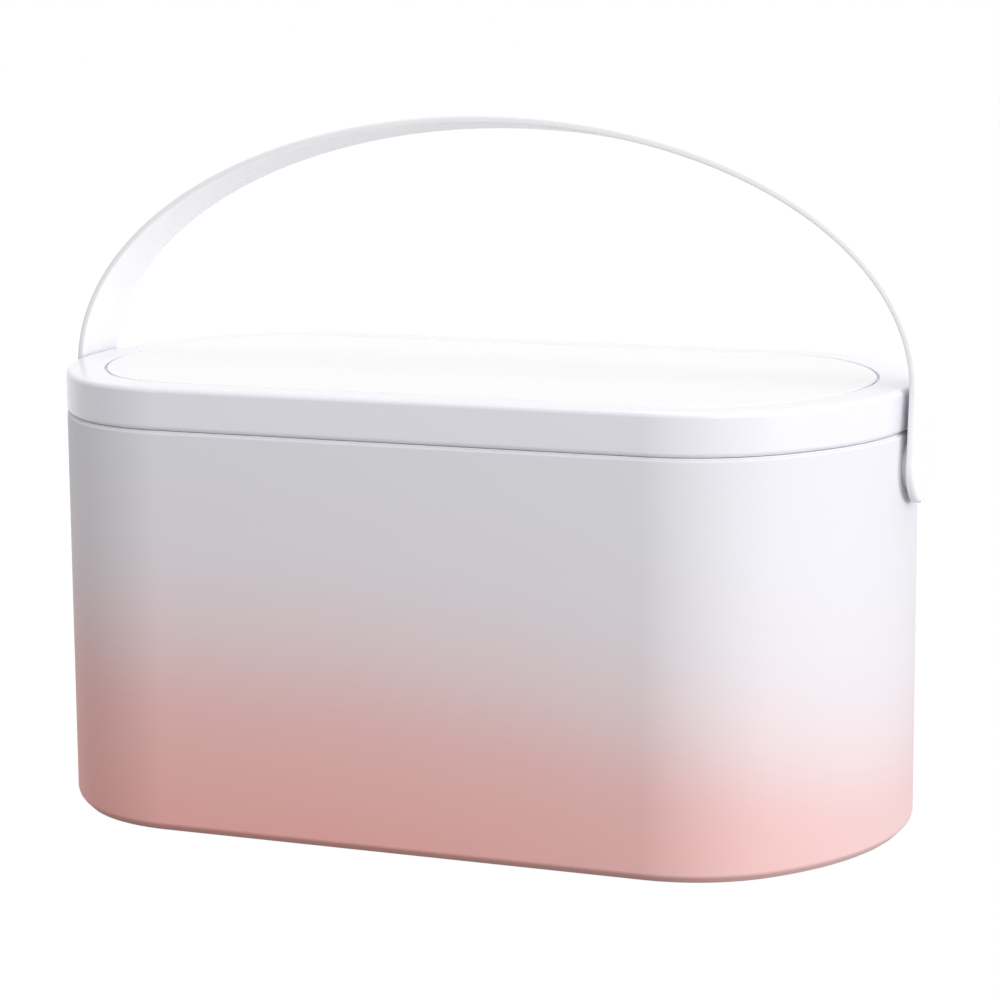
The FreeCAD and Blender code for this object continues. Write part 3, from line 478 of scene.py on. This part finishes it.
# %% Add the bosses and bore them
BOSS_RADIUS = 9.0 * MM
BOSS_DEPTH = 7.5 * MM
SPOT_DEPTH = 0.5 * MM
SPOT_RADIUS = 8.2 * MM
BUSHING_RADIUS = 6.0 * MM
MAGNET_BLOCK = 5.5 * MM
MAGNET_BLOCK_HEIGHT = 10.0 * MM
magnet_low, magnet_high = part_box("catch_magnets_body")
magnet_reach = (magnet_high.y - magnet_low.y) / 2
magnet_line = (magnet_low.y + magnet_high.y) / 2
for side in (-1, 1):
    inner_face = (half_length - BOSS_DEPTH) * side
    boss = round_bar("pivot_boss", inner_face, (half_length - WALL / 2) * side, BOSS_RADIUS)
    select_parts(boss, "EDGE", lambda points: all(abs(point.x - inner_face) < 0.01 * MM for point in points))
    bpy.ops.mesh.bevel(offset=0.8 * MM, segments=3, profile=0.5, affect="EDGES")
    cut_or_join(case_shell, boss, "UNION")
    spot = round_bar("spot_face", (half_length - SPOT_DEPTH) * side, (half_length + WALL) * side, SPOT_RADIUS)
    cut_or_join(case_shell, spot, "DIFFERENCE")
    bore = round_bar("bushing_bore", (half_length - 2 * BOSS_DEPTH) * side, (half_length + WALL) * side,
                     BUSHING_RADIUS + 0.05 * MM)
    cut_or_join(case_shell, bore, "DIFFERENCE")
    middle = (magnet_high.x - magnet_reach) * side
    top = shell_high.z - 0.4 * MM
    block = round_block(
        "magnet_block", (middle - MAGNET_BLOCK, WALL / 2 - half_width, top - MAGNET_BLOCK_HEIGHT),
        (middle + MAGNET_BLOCK, magnet_line + MAGNET_BLOCK, top), 1.2 * MM,
    )
    cut_or_join(case_shell, block, "UNION")
    seat = round_block(
        "magnet_seat", (middle - magnet_reach, magnet_low.y, magnet_low.z - 0.02 * MM),
        (middle + magnet_reach, magnet_high.y, shell_high.z + 0.1 * MM),
    )
    cut_or_join(case_shell, seat, "DIFFERENCE")
shade(case_shell)
finish_piece(case_shell, case_paint_and_painted_light, "case", "body_shell", slot="body_plastic")

# %% [markdown]
# ## The lid
# The lid is a shallow tray turned over. Its top edge is well rounded and its lower edge slightly,
# which throws the thin shadow of the seam. A recess in the top holds a separate panel, and the
# narrow gap around the panel is the fine line that the photograph shows.

# %% Model the lid and its panel
LID_TOP_ROUND = 1.7 * MM
LID_RIM_ROUND = 1.6 * MM
PANEL_GROOVE = 0.8 * MM
lid_ceiling = lid_high.z - 3.4 * MM
panel_inset = half_length - panel_high.x - PANEL_GROOVE
lid_shell = outline_plate("lid_cover", 0.0, lid_low.z)
raise_plate(lid_shell, lid_high.z - lid_low.z)
sink_face(lid_shell, lid_high.z, panel_inset, panel_low.z - lid_high.z)
sink_face(lid_shell, lid_low.z, WALL, lid_ceiling - lid_low.z)
round_ring(lid_shell, lid_high.z, 0.0, LID_TOP_ROUND, 8)
round_ring(lid_shell, lid_low.z, 0.0, LID_RIM_ROUND, 5)
round_ring(lid_shell, lid_high.z, panel_inset, 0.4 * MM, 3)
recalculate(lid_shell)
port_low, port_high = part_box("usb_port")
PORT_GAP = 0.2 * MM
PORT_CORNER = 1.3 * MM
opening = round_block(
    "port_opening", (port_low.x - PORT_GAP, port_low.y, port_low.z - PORT_GAP),
    (port_high.x + PORT_GAP, half_width + WALL, port_high.z + PORT_GAP), PORT_CORNER + PORT_GAP, 6, "Y",
)
cut_or_join(lid_shell, opening, "DIFFERENCE")
shade(lid_shell)
finish_piece(lid_shell, lid_white, "lid", "lid_shell", slot="white_plastic")

lid_panel = outline_plate("lid_panel", panel_inset + PANEL_GROOVE, panel_low.z)
raise_plate(lid_panel, panel_high.z - panel_low.z)
round_ring(lid_panel, panel_high.z, panel_inset + PANEL_GROOVE, 0.4 * MM, 3)
recalculate(lid_panel)
shade(lid_panel)
finish_piece(lid_panel, panel_white, "lid", "lid_top_panel", slot="white_plastic")

# %% [markdown]
# ## The handle
# The handle is a flat moulded band: straight arms beside the case and half an ellipse above it.
# Two half circles, stretched into ellipses, are bridged into the arch's side, and the band gets its
# width with one extrude. Bevels as deep as half the width turn the square ends round.

# %% Model the handle
HALF_SPAN = 141.7 * MM
BAND_THICKNESS = 2.7 * MM
BAND_HALF_WIDTH = 11.5 * MM
ARCH_RISE = 80.0 * MM
SPRING_HEIGHT = 139.2 * MM
HANDLE_LEAN = math.radians(7.0)
ARCH_STEPS = 192


def half_ellipse(name, reach, rise):
    """A circle turned upright, stretched into an ellipse and cut to its upper half."""
    deselect_everything()
    bpy.ops.mesh.primitive_circle_add(vertices=ARCH_STEPS, radius=1.0, rotation=(math.pi / 2, 0, 0))
    ring = bpy.context.active_object
    ring.name = name
    ring.scale = (reach, rise, 1.0)
    ring.location = (0, -BAND_HALF_WIDTH, SPRING_HEIGHT)
    bpy.ops.object.transform_apply(location=True, rotation=True, scale=True)
    select_parts(ring, "VERT", lambda points: points[0].z < SPRING_HEIGHT - 0.01 * MM)
    bpy.ops.mesh.delete(type="VERT")
    bpy.ops.object.mode_set(mode="OBJECT")
    return ring


def model_handle():
    outer = half_ellipse("carrying_handle", HALF_SPAN + BAND_THICKNESS, ARCH_RISE + BAND_THICKNESS)
    inner = half_ellipse("handle_inside", HALF_SPAN, ARCH_RISE)
    make_active(outer)
    inner.select_set(True)
    bpy.ops.object.join()
    bpy.ops.object.mode_set(mode="EDIT")
    bpy.context.tool_settings.mesh_select_mode = (False, True, False)
    bpy.ops.mesh.select_all(action="SELECT")
    bpy.ops.mesh.bridge_edge_loops()
    select_parts(outer, "EDGE", all_at_height(SPRING_HEIGHT))
    foot = pivot_height - BAND_HALF_WIDTH
    bpy.ops.mesh.extrude_region_move(TRANSFORM_OT_translate={"value": (0, 0, foot - SPRING_HEIGHT)})
    bpy.ops.mesh.select_all(action="SELECT")
    bpy.ops.mesh.extrude_region_move(TRANSFORM_OT_translate={"value": (0, 2 * BAND_HALF_WIDTH, 0)})
    recalculate(outer)

    def foot_corner(points):
        low = all(abs(point.z - foot) < 0.01 * MM for point in points)
        return low and abs(points[0].y - points[1].y) < 0.01 * MM

    select_parts(outer, "EDGE", foot_corner)
    bpy.ops.mesh.bevel(offset=BAND_HALF_WIDTH * 0.9995, segments=20, profile=0.5, affect="EDGES")
    recalculate(outer)
    return outer


def on_curve(point, reach, rise):
    """Whether a point of the upright handle lies on an arch with its straight arms."""
    if point.z > SPRING_HEIGHT:
        return abs(math.hypot(point.x / reach, (point.z - SPRING_HEIGHT) / rise) - 1) < 0.0008
    return abs(abs(point.x) - reach) < 0.02 * MM


def on_side(point):
    """Whether a point lies on one of the band's flat sides or on its round ends."""
    if point.z > pivot_height:
        return abs(abs(point.y) - BAND_HALF_WIDTH) < 0.05 * MM
    return abs(math.hypot(point.y, point.z - pivot_height) - BAND_HALF_WIDTH) < 0.05 * MM


def round_band_edges(piece, reach, rise, radius):
    """Rounds the long edges of the band on one of its two faces, round the ends of the arms as well."""

    def long_edge(points):
        first, second = points
        runs = abs(first.x - second.x) + abs(first.z - second.z) > 0.02 * MM
        return runs and all(on_curve(point, reach, rise) and on_side(point) for point in points)

    chosen = select_parts(piece, "EDGE", long_edge)
    bpy.ops.mesh.bevel(offset=radius, segments=5, profile=0.5, affect="EDGES")
    recalculate(piece)
    print(piece.name, "rounds", chosen, "edges")


handle = model_handle()
round_band_edges(handle, HALF_SPAN + BAND_THICKNESS, ARCH_RISE + BAND_THICKNESS, 1.2 * MM)
round_band_edges(handle, HALF_SPAN, ARCH_RISE, 0.8 * MM)
make_active(handle)
bpy.ops.object.mode_set(mode="EDIT")
bpy.ops.mesh.select_all(action="SELECT")
bpy.ops.transform.rotate(value=HANDLE_LEAN, orient_axis="X", center_override=(0, 0, pivot_height))
bpy.ops.object.mode_set(mode="OBJECT")
print("handle leans to", [round(value * 1000, 1) for value in max(handle.data.vertices, key=lambda v: v.co.z).co])
shade(handle)
finish_piece(
    handle, handle_white, "handle_body", "handle", "handle_arm_left", "handle_arm_right", slot="white_plastic"
)

# %% [markdown]
# ## Screws
# The hinges are held by small pan-head screws with a cross recess. One is modelled: a cylinder whose
# top edge is bevelled into a dome, a slimmer shank drawn out of its underside, and two crossed
# blocks cut out of the head. The copies go where the frame has screws, each with its own mesh.

# %% Model one screw and copy it
def copy_of_node(name, new_name):
    """A new piece with a copy of a CAD node's mesh, its loose triangles merged into whole faces."""
    piece = bpy.data.objects.new(new_name, nodes[name].data.copy())
    bpy.context.scene.collection.objects.link(piece)
    recalculate(piece)
    bpy.ops.object.mode_set(mode="EDIT")
    bpy.ops.mesh.select_all(action="SELECT")
    bpy.ops.mesh.dissolve_limited(angle_limit=math.radians(1.0))
    bpy.ops.object.mode_set(mode="OBJECT")
    return piece


def solids_of(name):
    """The corners of each separate solid in a node, from a copy that is taken apart."""
    copy_of_node(name, "taken_apart")
    bpy.ops.object.mode_set(mode="EDIT")
    bpy.ops.mesh.select_all(action="SELECT")
    bpy.ops.mesh.separate(type="LOOSE")
    bpy.ops.object.mode_set(mode="OBJECT")
    boxes = []
    for part in list(bpy.context.selected_objects):
        points = [vertex.co.copy() for vertex in part.data.vertices]
        low = Vector([min(point[axis] for point in points) for axis in range(3)])
        high = Vector([max(point[axis] for point in points) for axis in range(3)])
        boxes.append((low, high))
        bpy.data.objects.remove(part, do_unlink=True)
    return sorted(boxes, key=lambda box: tuple(box[0]))


def model_screw(name, head_radius, head_height, shank_radius, length):
    """A cross-head screw that stands on its tip, with its head's top at the height nothing."""
    deselect_everything()
    bpy.ops.mesh.primitive_cylinder_add(
        vertices=40, radius=head_radius, depth=head_height, location=(0, 0, -head_height / 2)
    )
    screw = bpy.context.active_object
    screw.name = screw.data.name = name
    bpy.ops.object.transform_apply(location=True, rotation=False, scale=False)
    select_parts(screw, "FACE", all_at_height(-head_height))
    bpy.ops.mesh.inset(thickness=head_radius - shank_radius)
    bpy.ops.mesh.extrude_region_move(TRANSFORM_OT_translate={"value": (0, 0, head_height + shank_radius - length)})
    bpy.ops.mesh.extrude_region_move(TRANSFORM_OT_translate={"value": (0, 0, -shank_radius)})
    bpy.ops.mesh.merge(type="CENTER")
    select_parts(screw, "EDGE", all_at_height(0.0))
    bpy.ops.mesh.bevel(offset=head_height * 0.6, segments=5, profile=0.5, affect="EDGES")
    recalculate(screw)
    arm, width, depth = head_radius * 0.62, head_radius * 0.14, head_height * 0.7
    for reach in ((arm, width), (width, arm)):
        slot = round_block(
            "cross_slot", (-reach[0], -reach[1], -depth), (reach[0], reach[1], head_height)
        )
        cut_or_join(screw, slot, "DIFFERENCE")
    return screw


def place_screws(name, node, model, facing, body):
    """Copies the screw to each of a node's screws, its head facing back or down."""
    copies = []
    for low, high in solids_of(node):
        head = (low + high) / 2
        if facing == "back":
            head.y = high.y
        else:
            head.z = low.z
        screw = bpy.data.objects.new(name, model.data.copy())
        bpy.context.scene.collection.objects.link(screw)
        screw.rotation_euler = (-math.pi / 2 if facing == "back" else math.pi, 0, 0)
        screw.location = head
        make_active(screw)
        bpy.ops.object.transform_apply(location=True, rotation=True, scale=False)
        copies.append(screw)
    screws = join_pieces(copies, name)
    shade(screws, 40)
    finish_piece(screws, screw_steel, body, node, slot="steel")


screw_steel = plain_finish("screw_bright_steel", (0.52, 0.52, 0.53), 0.24, 0.36, 2400.0, 0.1, Metallic=1.0)
hinge_screw = model_screw("hinge_screw", 2.2 * MM, 0.9 * MM, 1.15 * MM, 4.5 * MM)
place_screws("body_leaf_screws", "hinge_body_screws", hinge_screw, "back", "case")
place_screws("lid_leaf_screws", "hinge_lid_screws", hinge_screw, "back", "lid")
bezel_screw = model_screw("bezel_screw", 2.3 * MM, 1.5 * MM, 1.25 * MM, 8.0 * MM)
place_screws("mirror_frame_screws", "bezel_screws", bezel_screw, "down", "lid")
for model in (hinge_screw, bezel_screw):
    bpy.data.objects.remove(model, do_unlink=True)

# %% [markdown]
# ## Small parts with softened edges
# Nothing real has perfectly sharp edges: mouldings have a radius, glass is ground, pressed steel is
# tumbled. The small parts keep the shape that the frame gives them. Each gets a merged copy of its
# mesh and a bevel on every sharp edge, as wide as its own process leaves.

# %% Soften the small parts
hinge_nickel = plain_finish("hinge_satin_nickel", (0.60, 0.59, 0.58), 0.27, 0.31, 700.0, 0.01, Metallic=1.0)
SOFTENED = (
    ("long_divider", "divider_long", inner_white, "case", "matte_white", 0.45, 3),
    ("left_divider", "divider_cross_left", inner_white, "case", "matte_white", 0.45, 3),
    ("right_divider", "divider_cross_right", inner_white, "case", "matte_white", 0.45, 3),
    ("foot_pad", "base_pad", foot_rubber, "case", "soft_pad", 0.7, 3),
    ("felt_mat", "floor_mat", mat_felt, "case", "soft_pad", 0.6, 3),
    ("left_washer", "friction_washer_left", inner_white, "case", "matte_white", 0.3, 2),
    ("right_washer", "friction_washer_right", inner_white, "case", "matte_white", 0.3, 2),
    ("left_body_leaf", "hinge_body_leaf_left", hinge_nickel, "case", "metal", 0.25, 2),
    ("right_body_leaf", "hinge_body_leaf_right", hinge_nickel, "case", "metal", 0.25, 2),
    ("left_lid_leaf", "hinge_lid_leaf_left", hinge_nickel, "lid", "metal", 0.25, 2),
    ("right_lid_leaf", "hinge_lid_leaf_right", hinge_nickel, "lid", "metal", 0.25, 2),
    ("barrel_pins", "hinge_pins", screw_steel, "case", "steel", 0.3, 2),
    ("body_magnets", "catch_magnets_body", screw_steel, "case", "steel", 0.35, 2),
    ("lid_magnets", "catch_magnets_lid", screw_steel, "lid", "steel", 0.35, 2),
    ("mirror_frame", "mirror_bezel", inner_white, "lid", "matte_white", 0.3, 2),
    ("mirror_plate", "mirror_glass", mirror_silver, "lid", "mirror", 0.7, 1),
    ("light_ring", "light_diffuser", frosted_acrylic, "lid", "frosted", 0.35, 2),
    ("light_cell", "battery", cell_wrap, "lid", "cell_wrap", 1.6, 5),
    ("touch_key", "touch_sensor", screw_steel, "lid", "steel", 0.25, 2),
)


def soften(name, node, material, body, slot, width, segments):
    piece = copy_of_node(node, name)
    apply_modifier(
        piece, "BEVEL", width=width * MM, segments=segments, limit_method="ANGLE", angle_limit=math.radians(35)
    )
    shade(piece, 40)
    finish_piece(piece, material, body, node, slot=slot)


for row in SOFTENED:
    soften(*row)

# %% [markdown]
# ## The charging port
# The port is a folded steel sleeve with a plastic tongue in its middle. A block with round corners
# is hollowed with an inset and an extrude into the sleeve, and the tongue is a second, softer block.

# %% Model the port
PORT_SHEET = 0.35 * MM
TONGUE_HALF = (3.1 * MM, 0.4 * MM)
port_sleeve = round_block("port_sleeve", port_low, port_high, PORT_CORNER, 6, "Y")
select_parts(port_sleeve, "FACE", lambda points: all(abs(point.y - port_high.y) < 0.01 * MM for point in points))
bpy.ops.mesh.inset(thickness=PORT_SHEET, use_even_offset=True)
bpy.ops.mesh.extrude_region_move(TRANSFORM_OT_translate={"value": (0, port_low.y - port_high.y + PORT_SHEET, 0)})
recalculate(port_sleeve)
shade(port_sleeve)
finish_piece(port_sleeve, screw_steel, "lid", "usb_port", slot="steel")
port_middle = (port_low.z + port_high.z) / 2
port_tongue = round_block(
    "port_tongue", (-TONGUE_HALF[0], port_low.y + PORT_SHEET / 2, port_middle - TONGUE_HALF[1]),
    (TONGUE_HALF[0], port_high.y - 1.0 * MM, port_middle + TONGUE_HALF[1]), 0.6 * MM, 3, "Z",
)
apply_modifier(port_tongue, "BEVEL", width=0.12 * MM, segments=2, limit_method="ANGLE")
shade(port_tongue)
tongue_black = plain_finish("port_tongue_black", (0.035, 0.035, 0.038), 0.4, 0.55, 2600.0, 0.1)
finish_piece(port_tongue, tongue_black, "lid")

# %% [markdown]
# ## The control board and the lights
# The board carries a driver chip and a row of small parts. Each light is a block with a window
# inset in its face, all in one yellow finish. The parts are blocks with softened edges, set on the board where
# there is room.

# %% Model the board and the lights
board_low, board_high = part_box("control_board")
board = copy_of_node("control_board", "driver_board")
apply_modifier(board, "BEVEL", width=0.15 * MM, segments=1, limit_method="ANGLE")
shade(board)
finish_piece(board, board_green, "lid", "control_board", slot="board_green")
COMPONENTS = ((-11.0, 0.0, 2.6, 2.6, 0.9), (-4.0, 2.5, 1.0, 0.6, 0.5), (-4.0, 0.0, 1.0, 0.6, 0.5),
              (-4.0, -2.5, 1.0, 0.6, 0.5), (11.0, -2.0, 2.2, 1.6, 1.1), (11.0, 2.6, 0.9, 0.9, 0.8))
board_middle = (board_low.y + board_high.y) / 2
chips = []
for x, y, half_x, half_y, height in COMPONENTS:
    chip = round_block(
        "board_chip", ((x - half_x) * MM, board_middle + (y - half_y) * MM, board_low.z - height * MM),
        ((x + half_x) * MM, board_middle + (y + half_y) * MM, board_low.z),
    )
    apply_modifier(chip, "BEVEL", width=0.12 * MM, segments=2, limit_method="ANGLE")
    chips.append(chip)
board_chips = join_pieces(chips, "board_chips")
shade(board_chips)
finish_piece(board_chips, tongue_black, "lid")

light_blocks = copy_of_node("led_chips", "light_blocks")
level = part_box("led_chips")[0].z
select_parts(light_blocks, "FACE", all_at_height(level))
bpy.ops.mesh.inset(thickness=0.35 * MM, use_individual=True)
bpy.ops.mesh.extrude_region_move(TRANSFORM_OT_translate={"value": (0, 0, 0.15 * MM)})
bpy.ops.object.mode_set(mode="OBJECT")
finish_piece(light_blocks, phosphor, "lid", "led_chips", slot="led_yellow")

# %% [markdown]
# ## Pivots
# Each pivot is a turned pin in a flanged bushing, kept by a ring on its inner end. The frame's inner
# parts are six-sided to stay simple, and here the bushings and rings are turned round, as the real ones are; the
# pins keep their CAD meshes.

# %% Turn the bushings and rings
pin_steel = plain_finish("pivot_pin_steel", (0.55, 0.55, 0.56), 0.2, 0.3, 2000.0, 0.08, Metallic=1.0)
for side, word in ((-1, "left"), (1, "right")):
    bushing_low, bushing_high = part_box(f"pivot_bushing_{word}")
    bushing = round_bar(f"{word}_bushing", bushing_low.x, bushing_high.x, BUSHING_RADIUS, 64)
    bore = round_bar("pin_bore", bushing_low.x - MM, bushing_high.x + MM, 4.05 * MM, 64)
    cut_or_join(bushing, bore, "DIFFERENCE")
    apply_modifier(bushing, "BEVEL", width=0.4 * MM, segments=3, limit_method="ANGLE")
    shade(bushing)
    finish_piece(bushing, inner_white, "case", f"pivot_bushing_{word}", slot="matte_white")
    ring_low, ring_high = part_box(f"retaining_ring_{word}")
    ring = round_bar(f"{word}_ring", ring_low.x, ring_high.x, 5.6 * MM, 64)
    hole = round_bar("ring_hole", ring_low.x - MM, ring_high.x + MM, 3.3 * MM, 64)
    cut_or_join(ring, hole, "DIFFERENCE")
    mouth = round_block(
        "ring_mouth", (ring_low.x - MM, -1.6 * MM, pivot_height), (ring_high.x + MM, 1.6 * MM, ring_high.z)
    )
    cut_or_join(ring, mouth, "DIFFERENCE")
    apply_modifier(ring, "BEVEL", width=0.15 * MM, segments=2, limit_method="ANGLE")
    shade(ring)
    finish_piece(ring, pin_steel, "handle_body", f"retaining_ring_{word}", slot="steel")

# %% [markdown]
# ## Carried-over pieces
# The last pieces keep their CAD meshes, which already have their real shapes, and only get a finish.

# %% Give the carried-over nodes their finishes
for name in ("led_strip", "pivot_pin_left", "pivot_pin_right"):
    nodes[name].data.materials.clear()
    nodes[name].data.materials.append(inner_white if name == "led_strip" else pin_steel)

# %% [markdown]
# ## Studio
# The case stands on a white sweep under soft light that comes from the right and from above, so
# its front falls gently into shade towards the left. The camera stands a little above the lid,
# to the right of the middle, far enough away to keep the verticals nearly parallel.

# %% Place the camera
AZIMUTH = math.radians(21.67)
ELEVATION = math.radians(9.78)
ROLL = math.radians(-0.38)
DISTANCE = 1.02147
TARGET = Vector((0.00476, 0.0, 0.09879))
backwards = Vector((
    math.sin(AZIMUTH) * math.cos(ELEVATION),
    -math.cos(AZIMUTH) * math.cos(ELEVATION),
    math.sin(ELEVATION),
))
right = (-backwards).cross(Vector((0, 0, 1))).normalized()
upwards = right.cross(-backwards)
rolled_right = right * math.cos(ROLL) + upwards * math.sin(ROLL)
rolled_up = upwards * math.cos(ROLL) - right * math.sin(ROLL)
turn = Matrix((rolled_right, rolled_up, backwards)).transposed()
deselect_everything()
bpy.ops.object.camera_add(location=TARGET + backwards * DISTANCE, rotation=turn.to_euler())
camera = bpy.context.active_object
camera.data.sensor_width = 36.0
camera.data.lens = 113.66
camera.data.clip_start = 0.05
bpy.context.scene.camera = camera

# %% Lay the floor and light the case
def seen_directly(tree):
    """One for rays from the camera, from shiny surfaces and through clear ones, nothing for the rest."""
    path = add_node(tree, "ShaderNodeLightPath")
    total = path.outputs["Is Camera Ray"]
    for ray in ("Is Glossy Ray", "Is Transmission Ray"):
        either = add_node(tree, "ShaderNodeMath", operation="MAXIMUM")
        tree.links.new(total, either.inputs[0])
        tree.links.new(path.outputs[ray], either.inputs[1])
        total = either.outputs["Value"]
    return total


def stage_material():
    """A white floor that keeps a faint shadow: seen directly it is mostly a plain white glow."""
    material = bpy.data.materials.new("studio_white")
    material.use_nodes = True
    tree = material.node_tree
    shader = tree.nodes["Principled BSDF"]
    shader.inputs["Base Color"].default_value = (0.25, 0.25, 0.255, 1)
    shader.inputs["Roughness"].default_value = 0.9
    shader.inputs["Specular IOR Level"].default_value = 0.1
    glow = add_node(tree, "ShaderNodeEmission", Strength=1.12)
    share = add_node(tree, "ShaderNodeMath", operation="MULTIPLY")
    share.inputs[1].default_value = 0.88
    tree.links.new(seen_directly(tree), share.inputs[0])
    mix = add_node(tree, "ShaderNodeMixShader")
    tree.links.new(share.outputs["Value"], mix.inputs[0])
    tree.links.new(shader.outputs["BSDF"], mix.inputs[1])
    tree.links.new(glow.outputs["Emission"], mix.inputs[2])
    tree.links.new(mix.outputs["Shader"], tree.nodes["Material Output"].inputs["Surface"])
    return material


bpy.ops.mesh.primitive_plane_add(size=12.0, location=(0, 0, 0))
floor = bpy.context.active_object
floor.name = "studio_floor"
floor.data.materials.append(stage_material())


def studio_world(strength):
    """A plain white room: rays from the camera and from shiny pieces see full white."""
    world = bpy.data.worlds.new("studio_world")
    world.use_nodes = True
    tree = world.node_tree
    background = tree.nodes["Background"]
    background.inputs["Color"].default_value = (1, 1, 1, 1)
    level = add_node(tree, "ShaderNodeMapRange")
    level.inputs["To Min"].default_value = strength
    level.inputs["To Max"].default_value = 1.0
    tree.links.new(seen_directly(tree), level.inputs["Value"])
    tree.links.new(level.outputs["Result"], background.inputs["Strength"])
    bpy.context.scene.world = world


studio_world(0.695)


def soft_light(name, place, aim, size, power):
    bpy.ops.object.light_add(type="AREA", location=place)
    light = bpy.context.active_object
    light.name = name
    light.rotation_euler = (Vector(aim) - Vector(place)).to_track_quat("-Z", "Y").to_euler()
    light.data.shape = "RECTANGLE"
    light.data.size, light.data.size_y = size
    light.data.energy = power
    return light


CASE_MIDDLE = (0, 0, 0.07)
soft_light("key_from_front_right", (1.6, -1.4, 0.8), CASE_MIDDLE, (1.2, 1.2), 16.8)
soft_light("low_light_from_right", (2.2, -0.3, 0.35), CASE_MIDDLE, (0.8, 0.6), 14.5)
soft_light("top_light", (0.1, 0.3, 2.2), CASE_MIDDLE, (1.8, 1.4), 9.5)
soft_light("back_light", (0.0, 1.6, 1.6), CASE_MIDDLE, (1.4, 1.2), 6.5)
bpy.context.scene.view_settings.view_transform = "Standard"
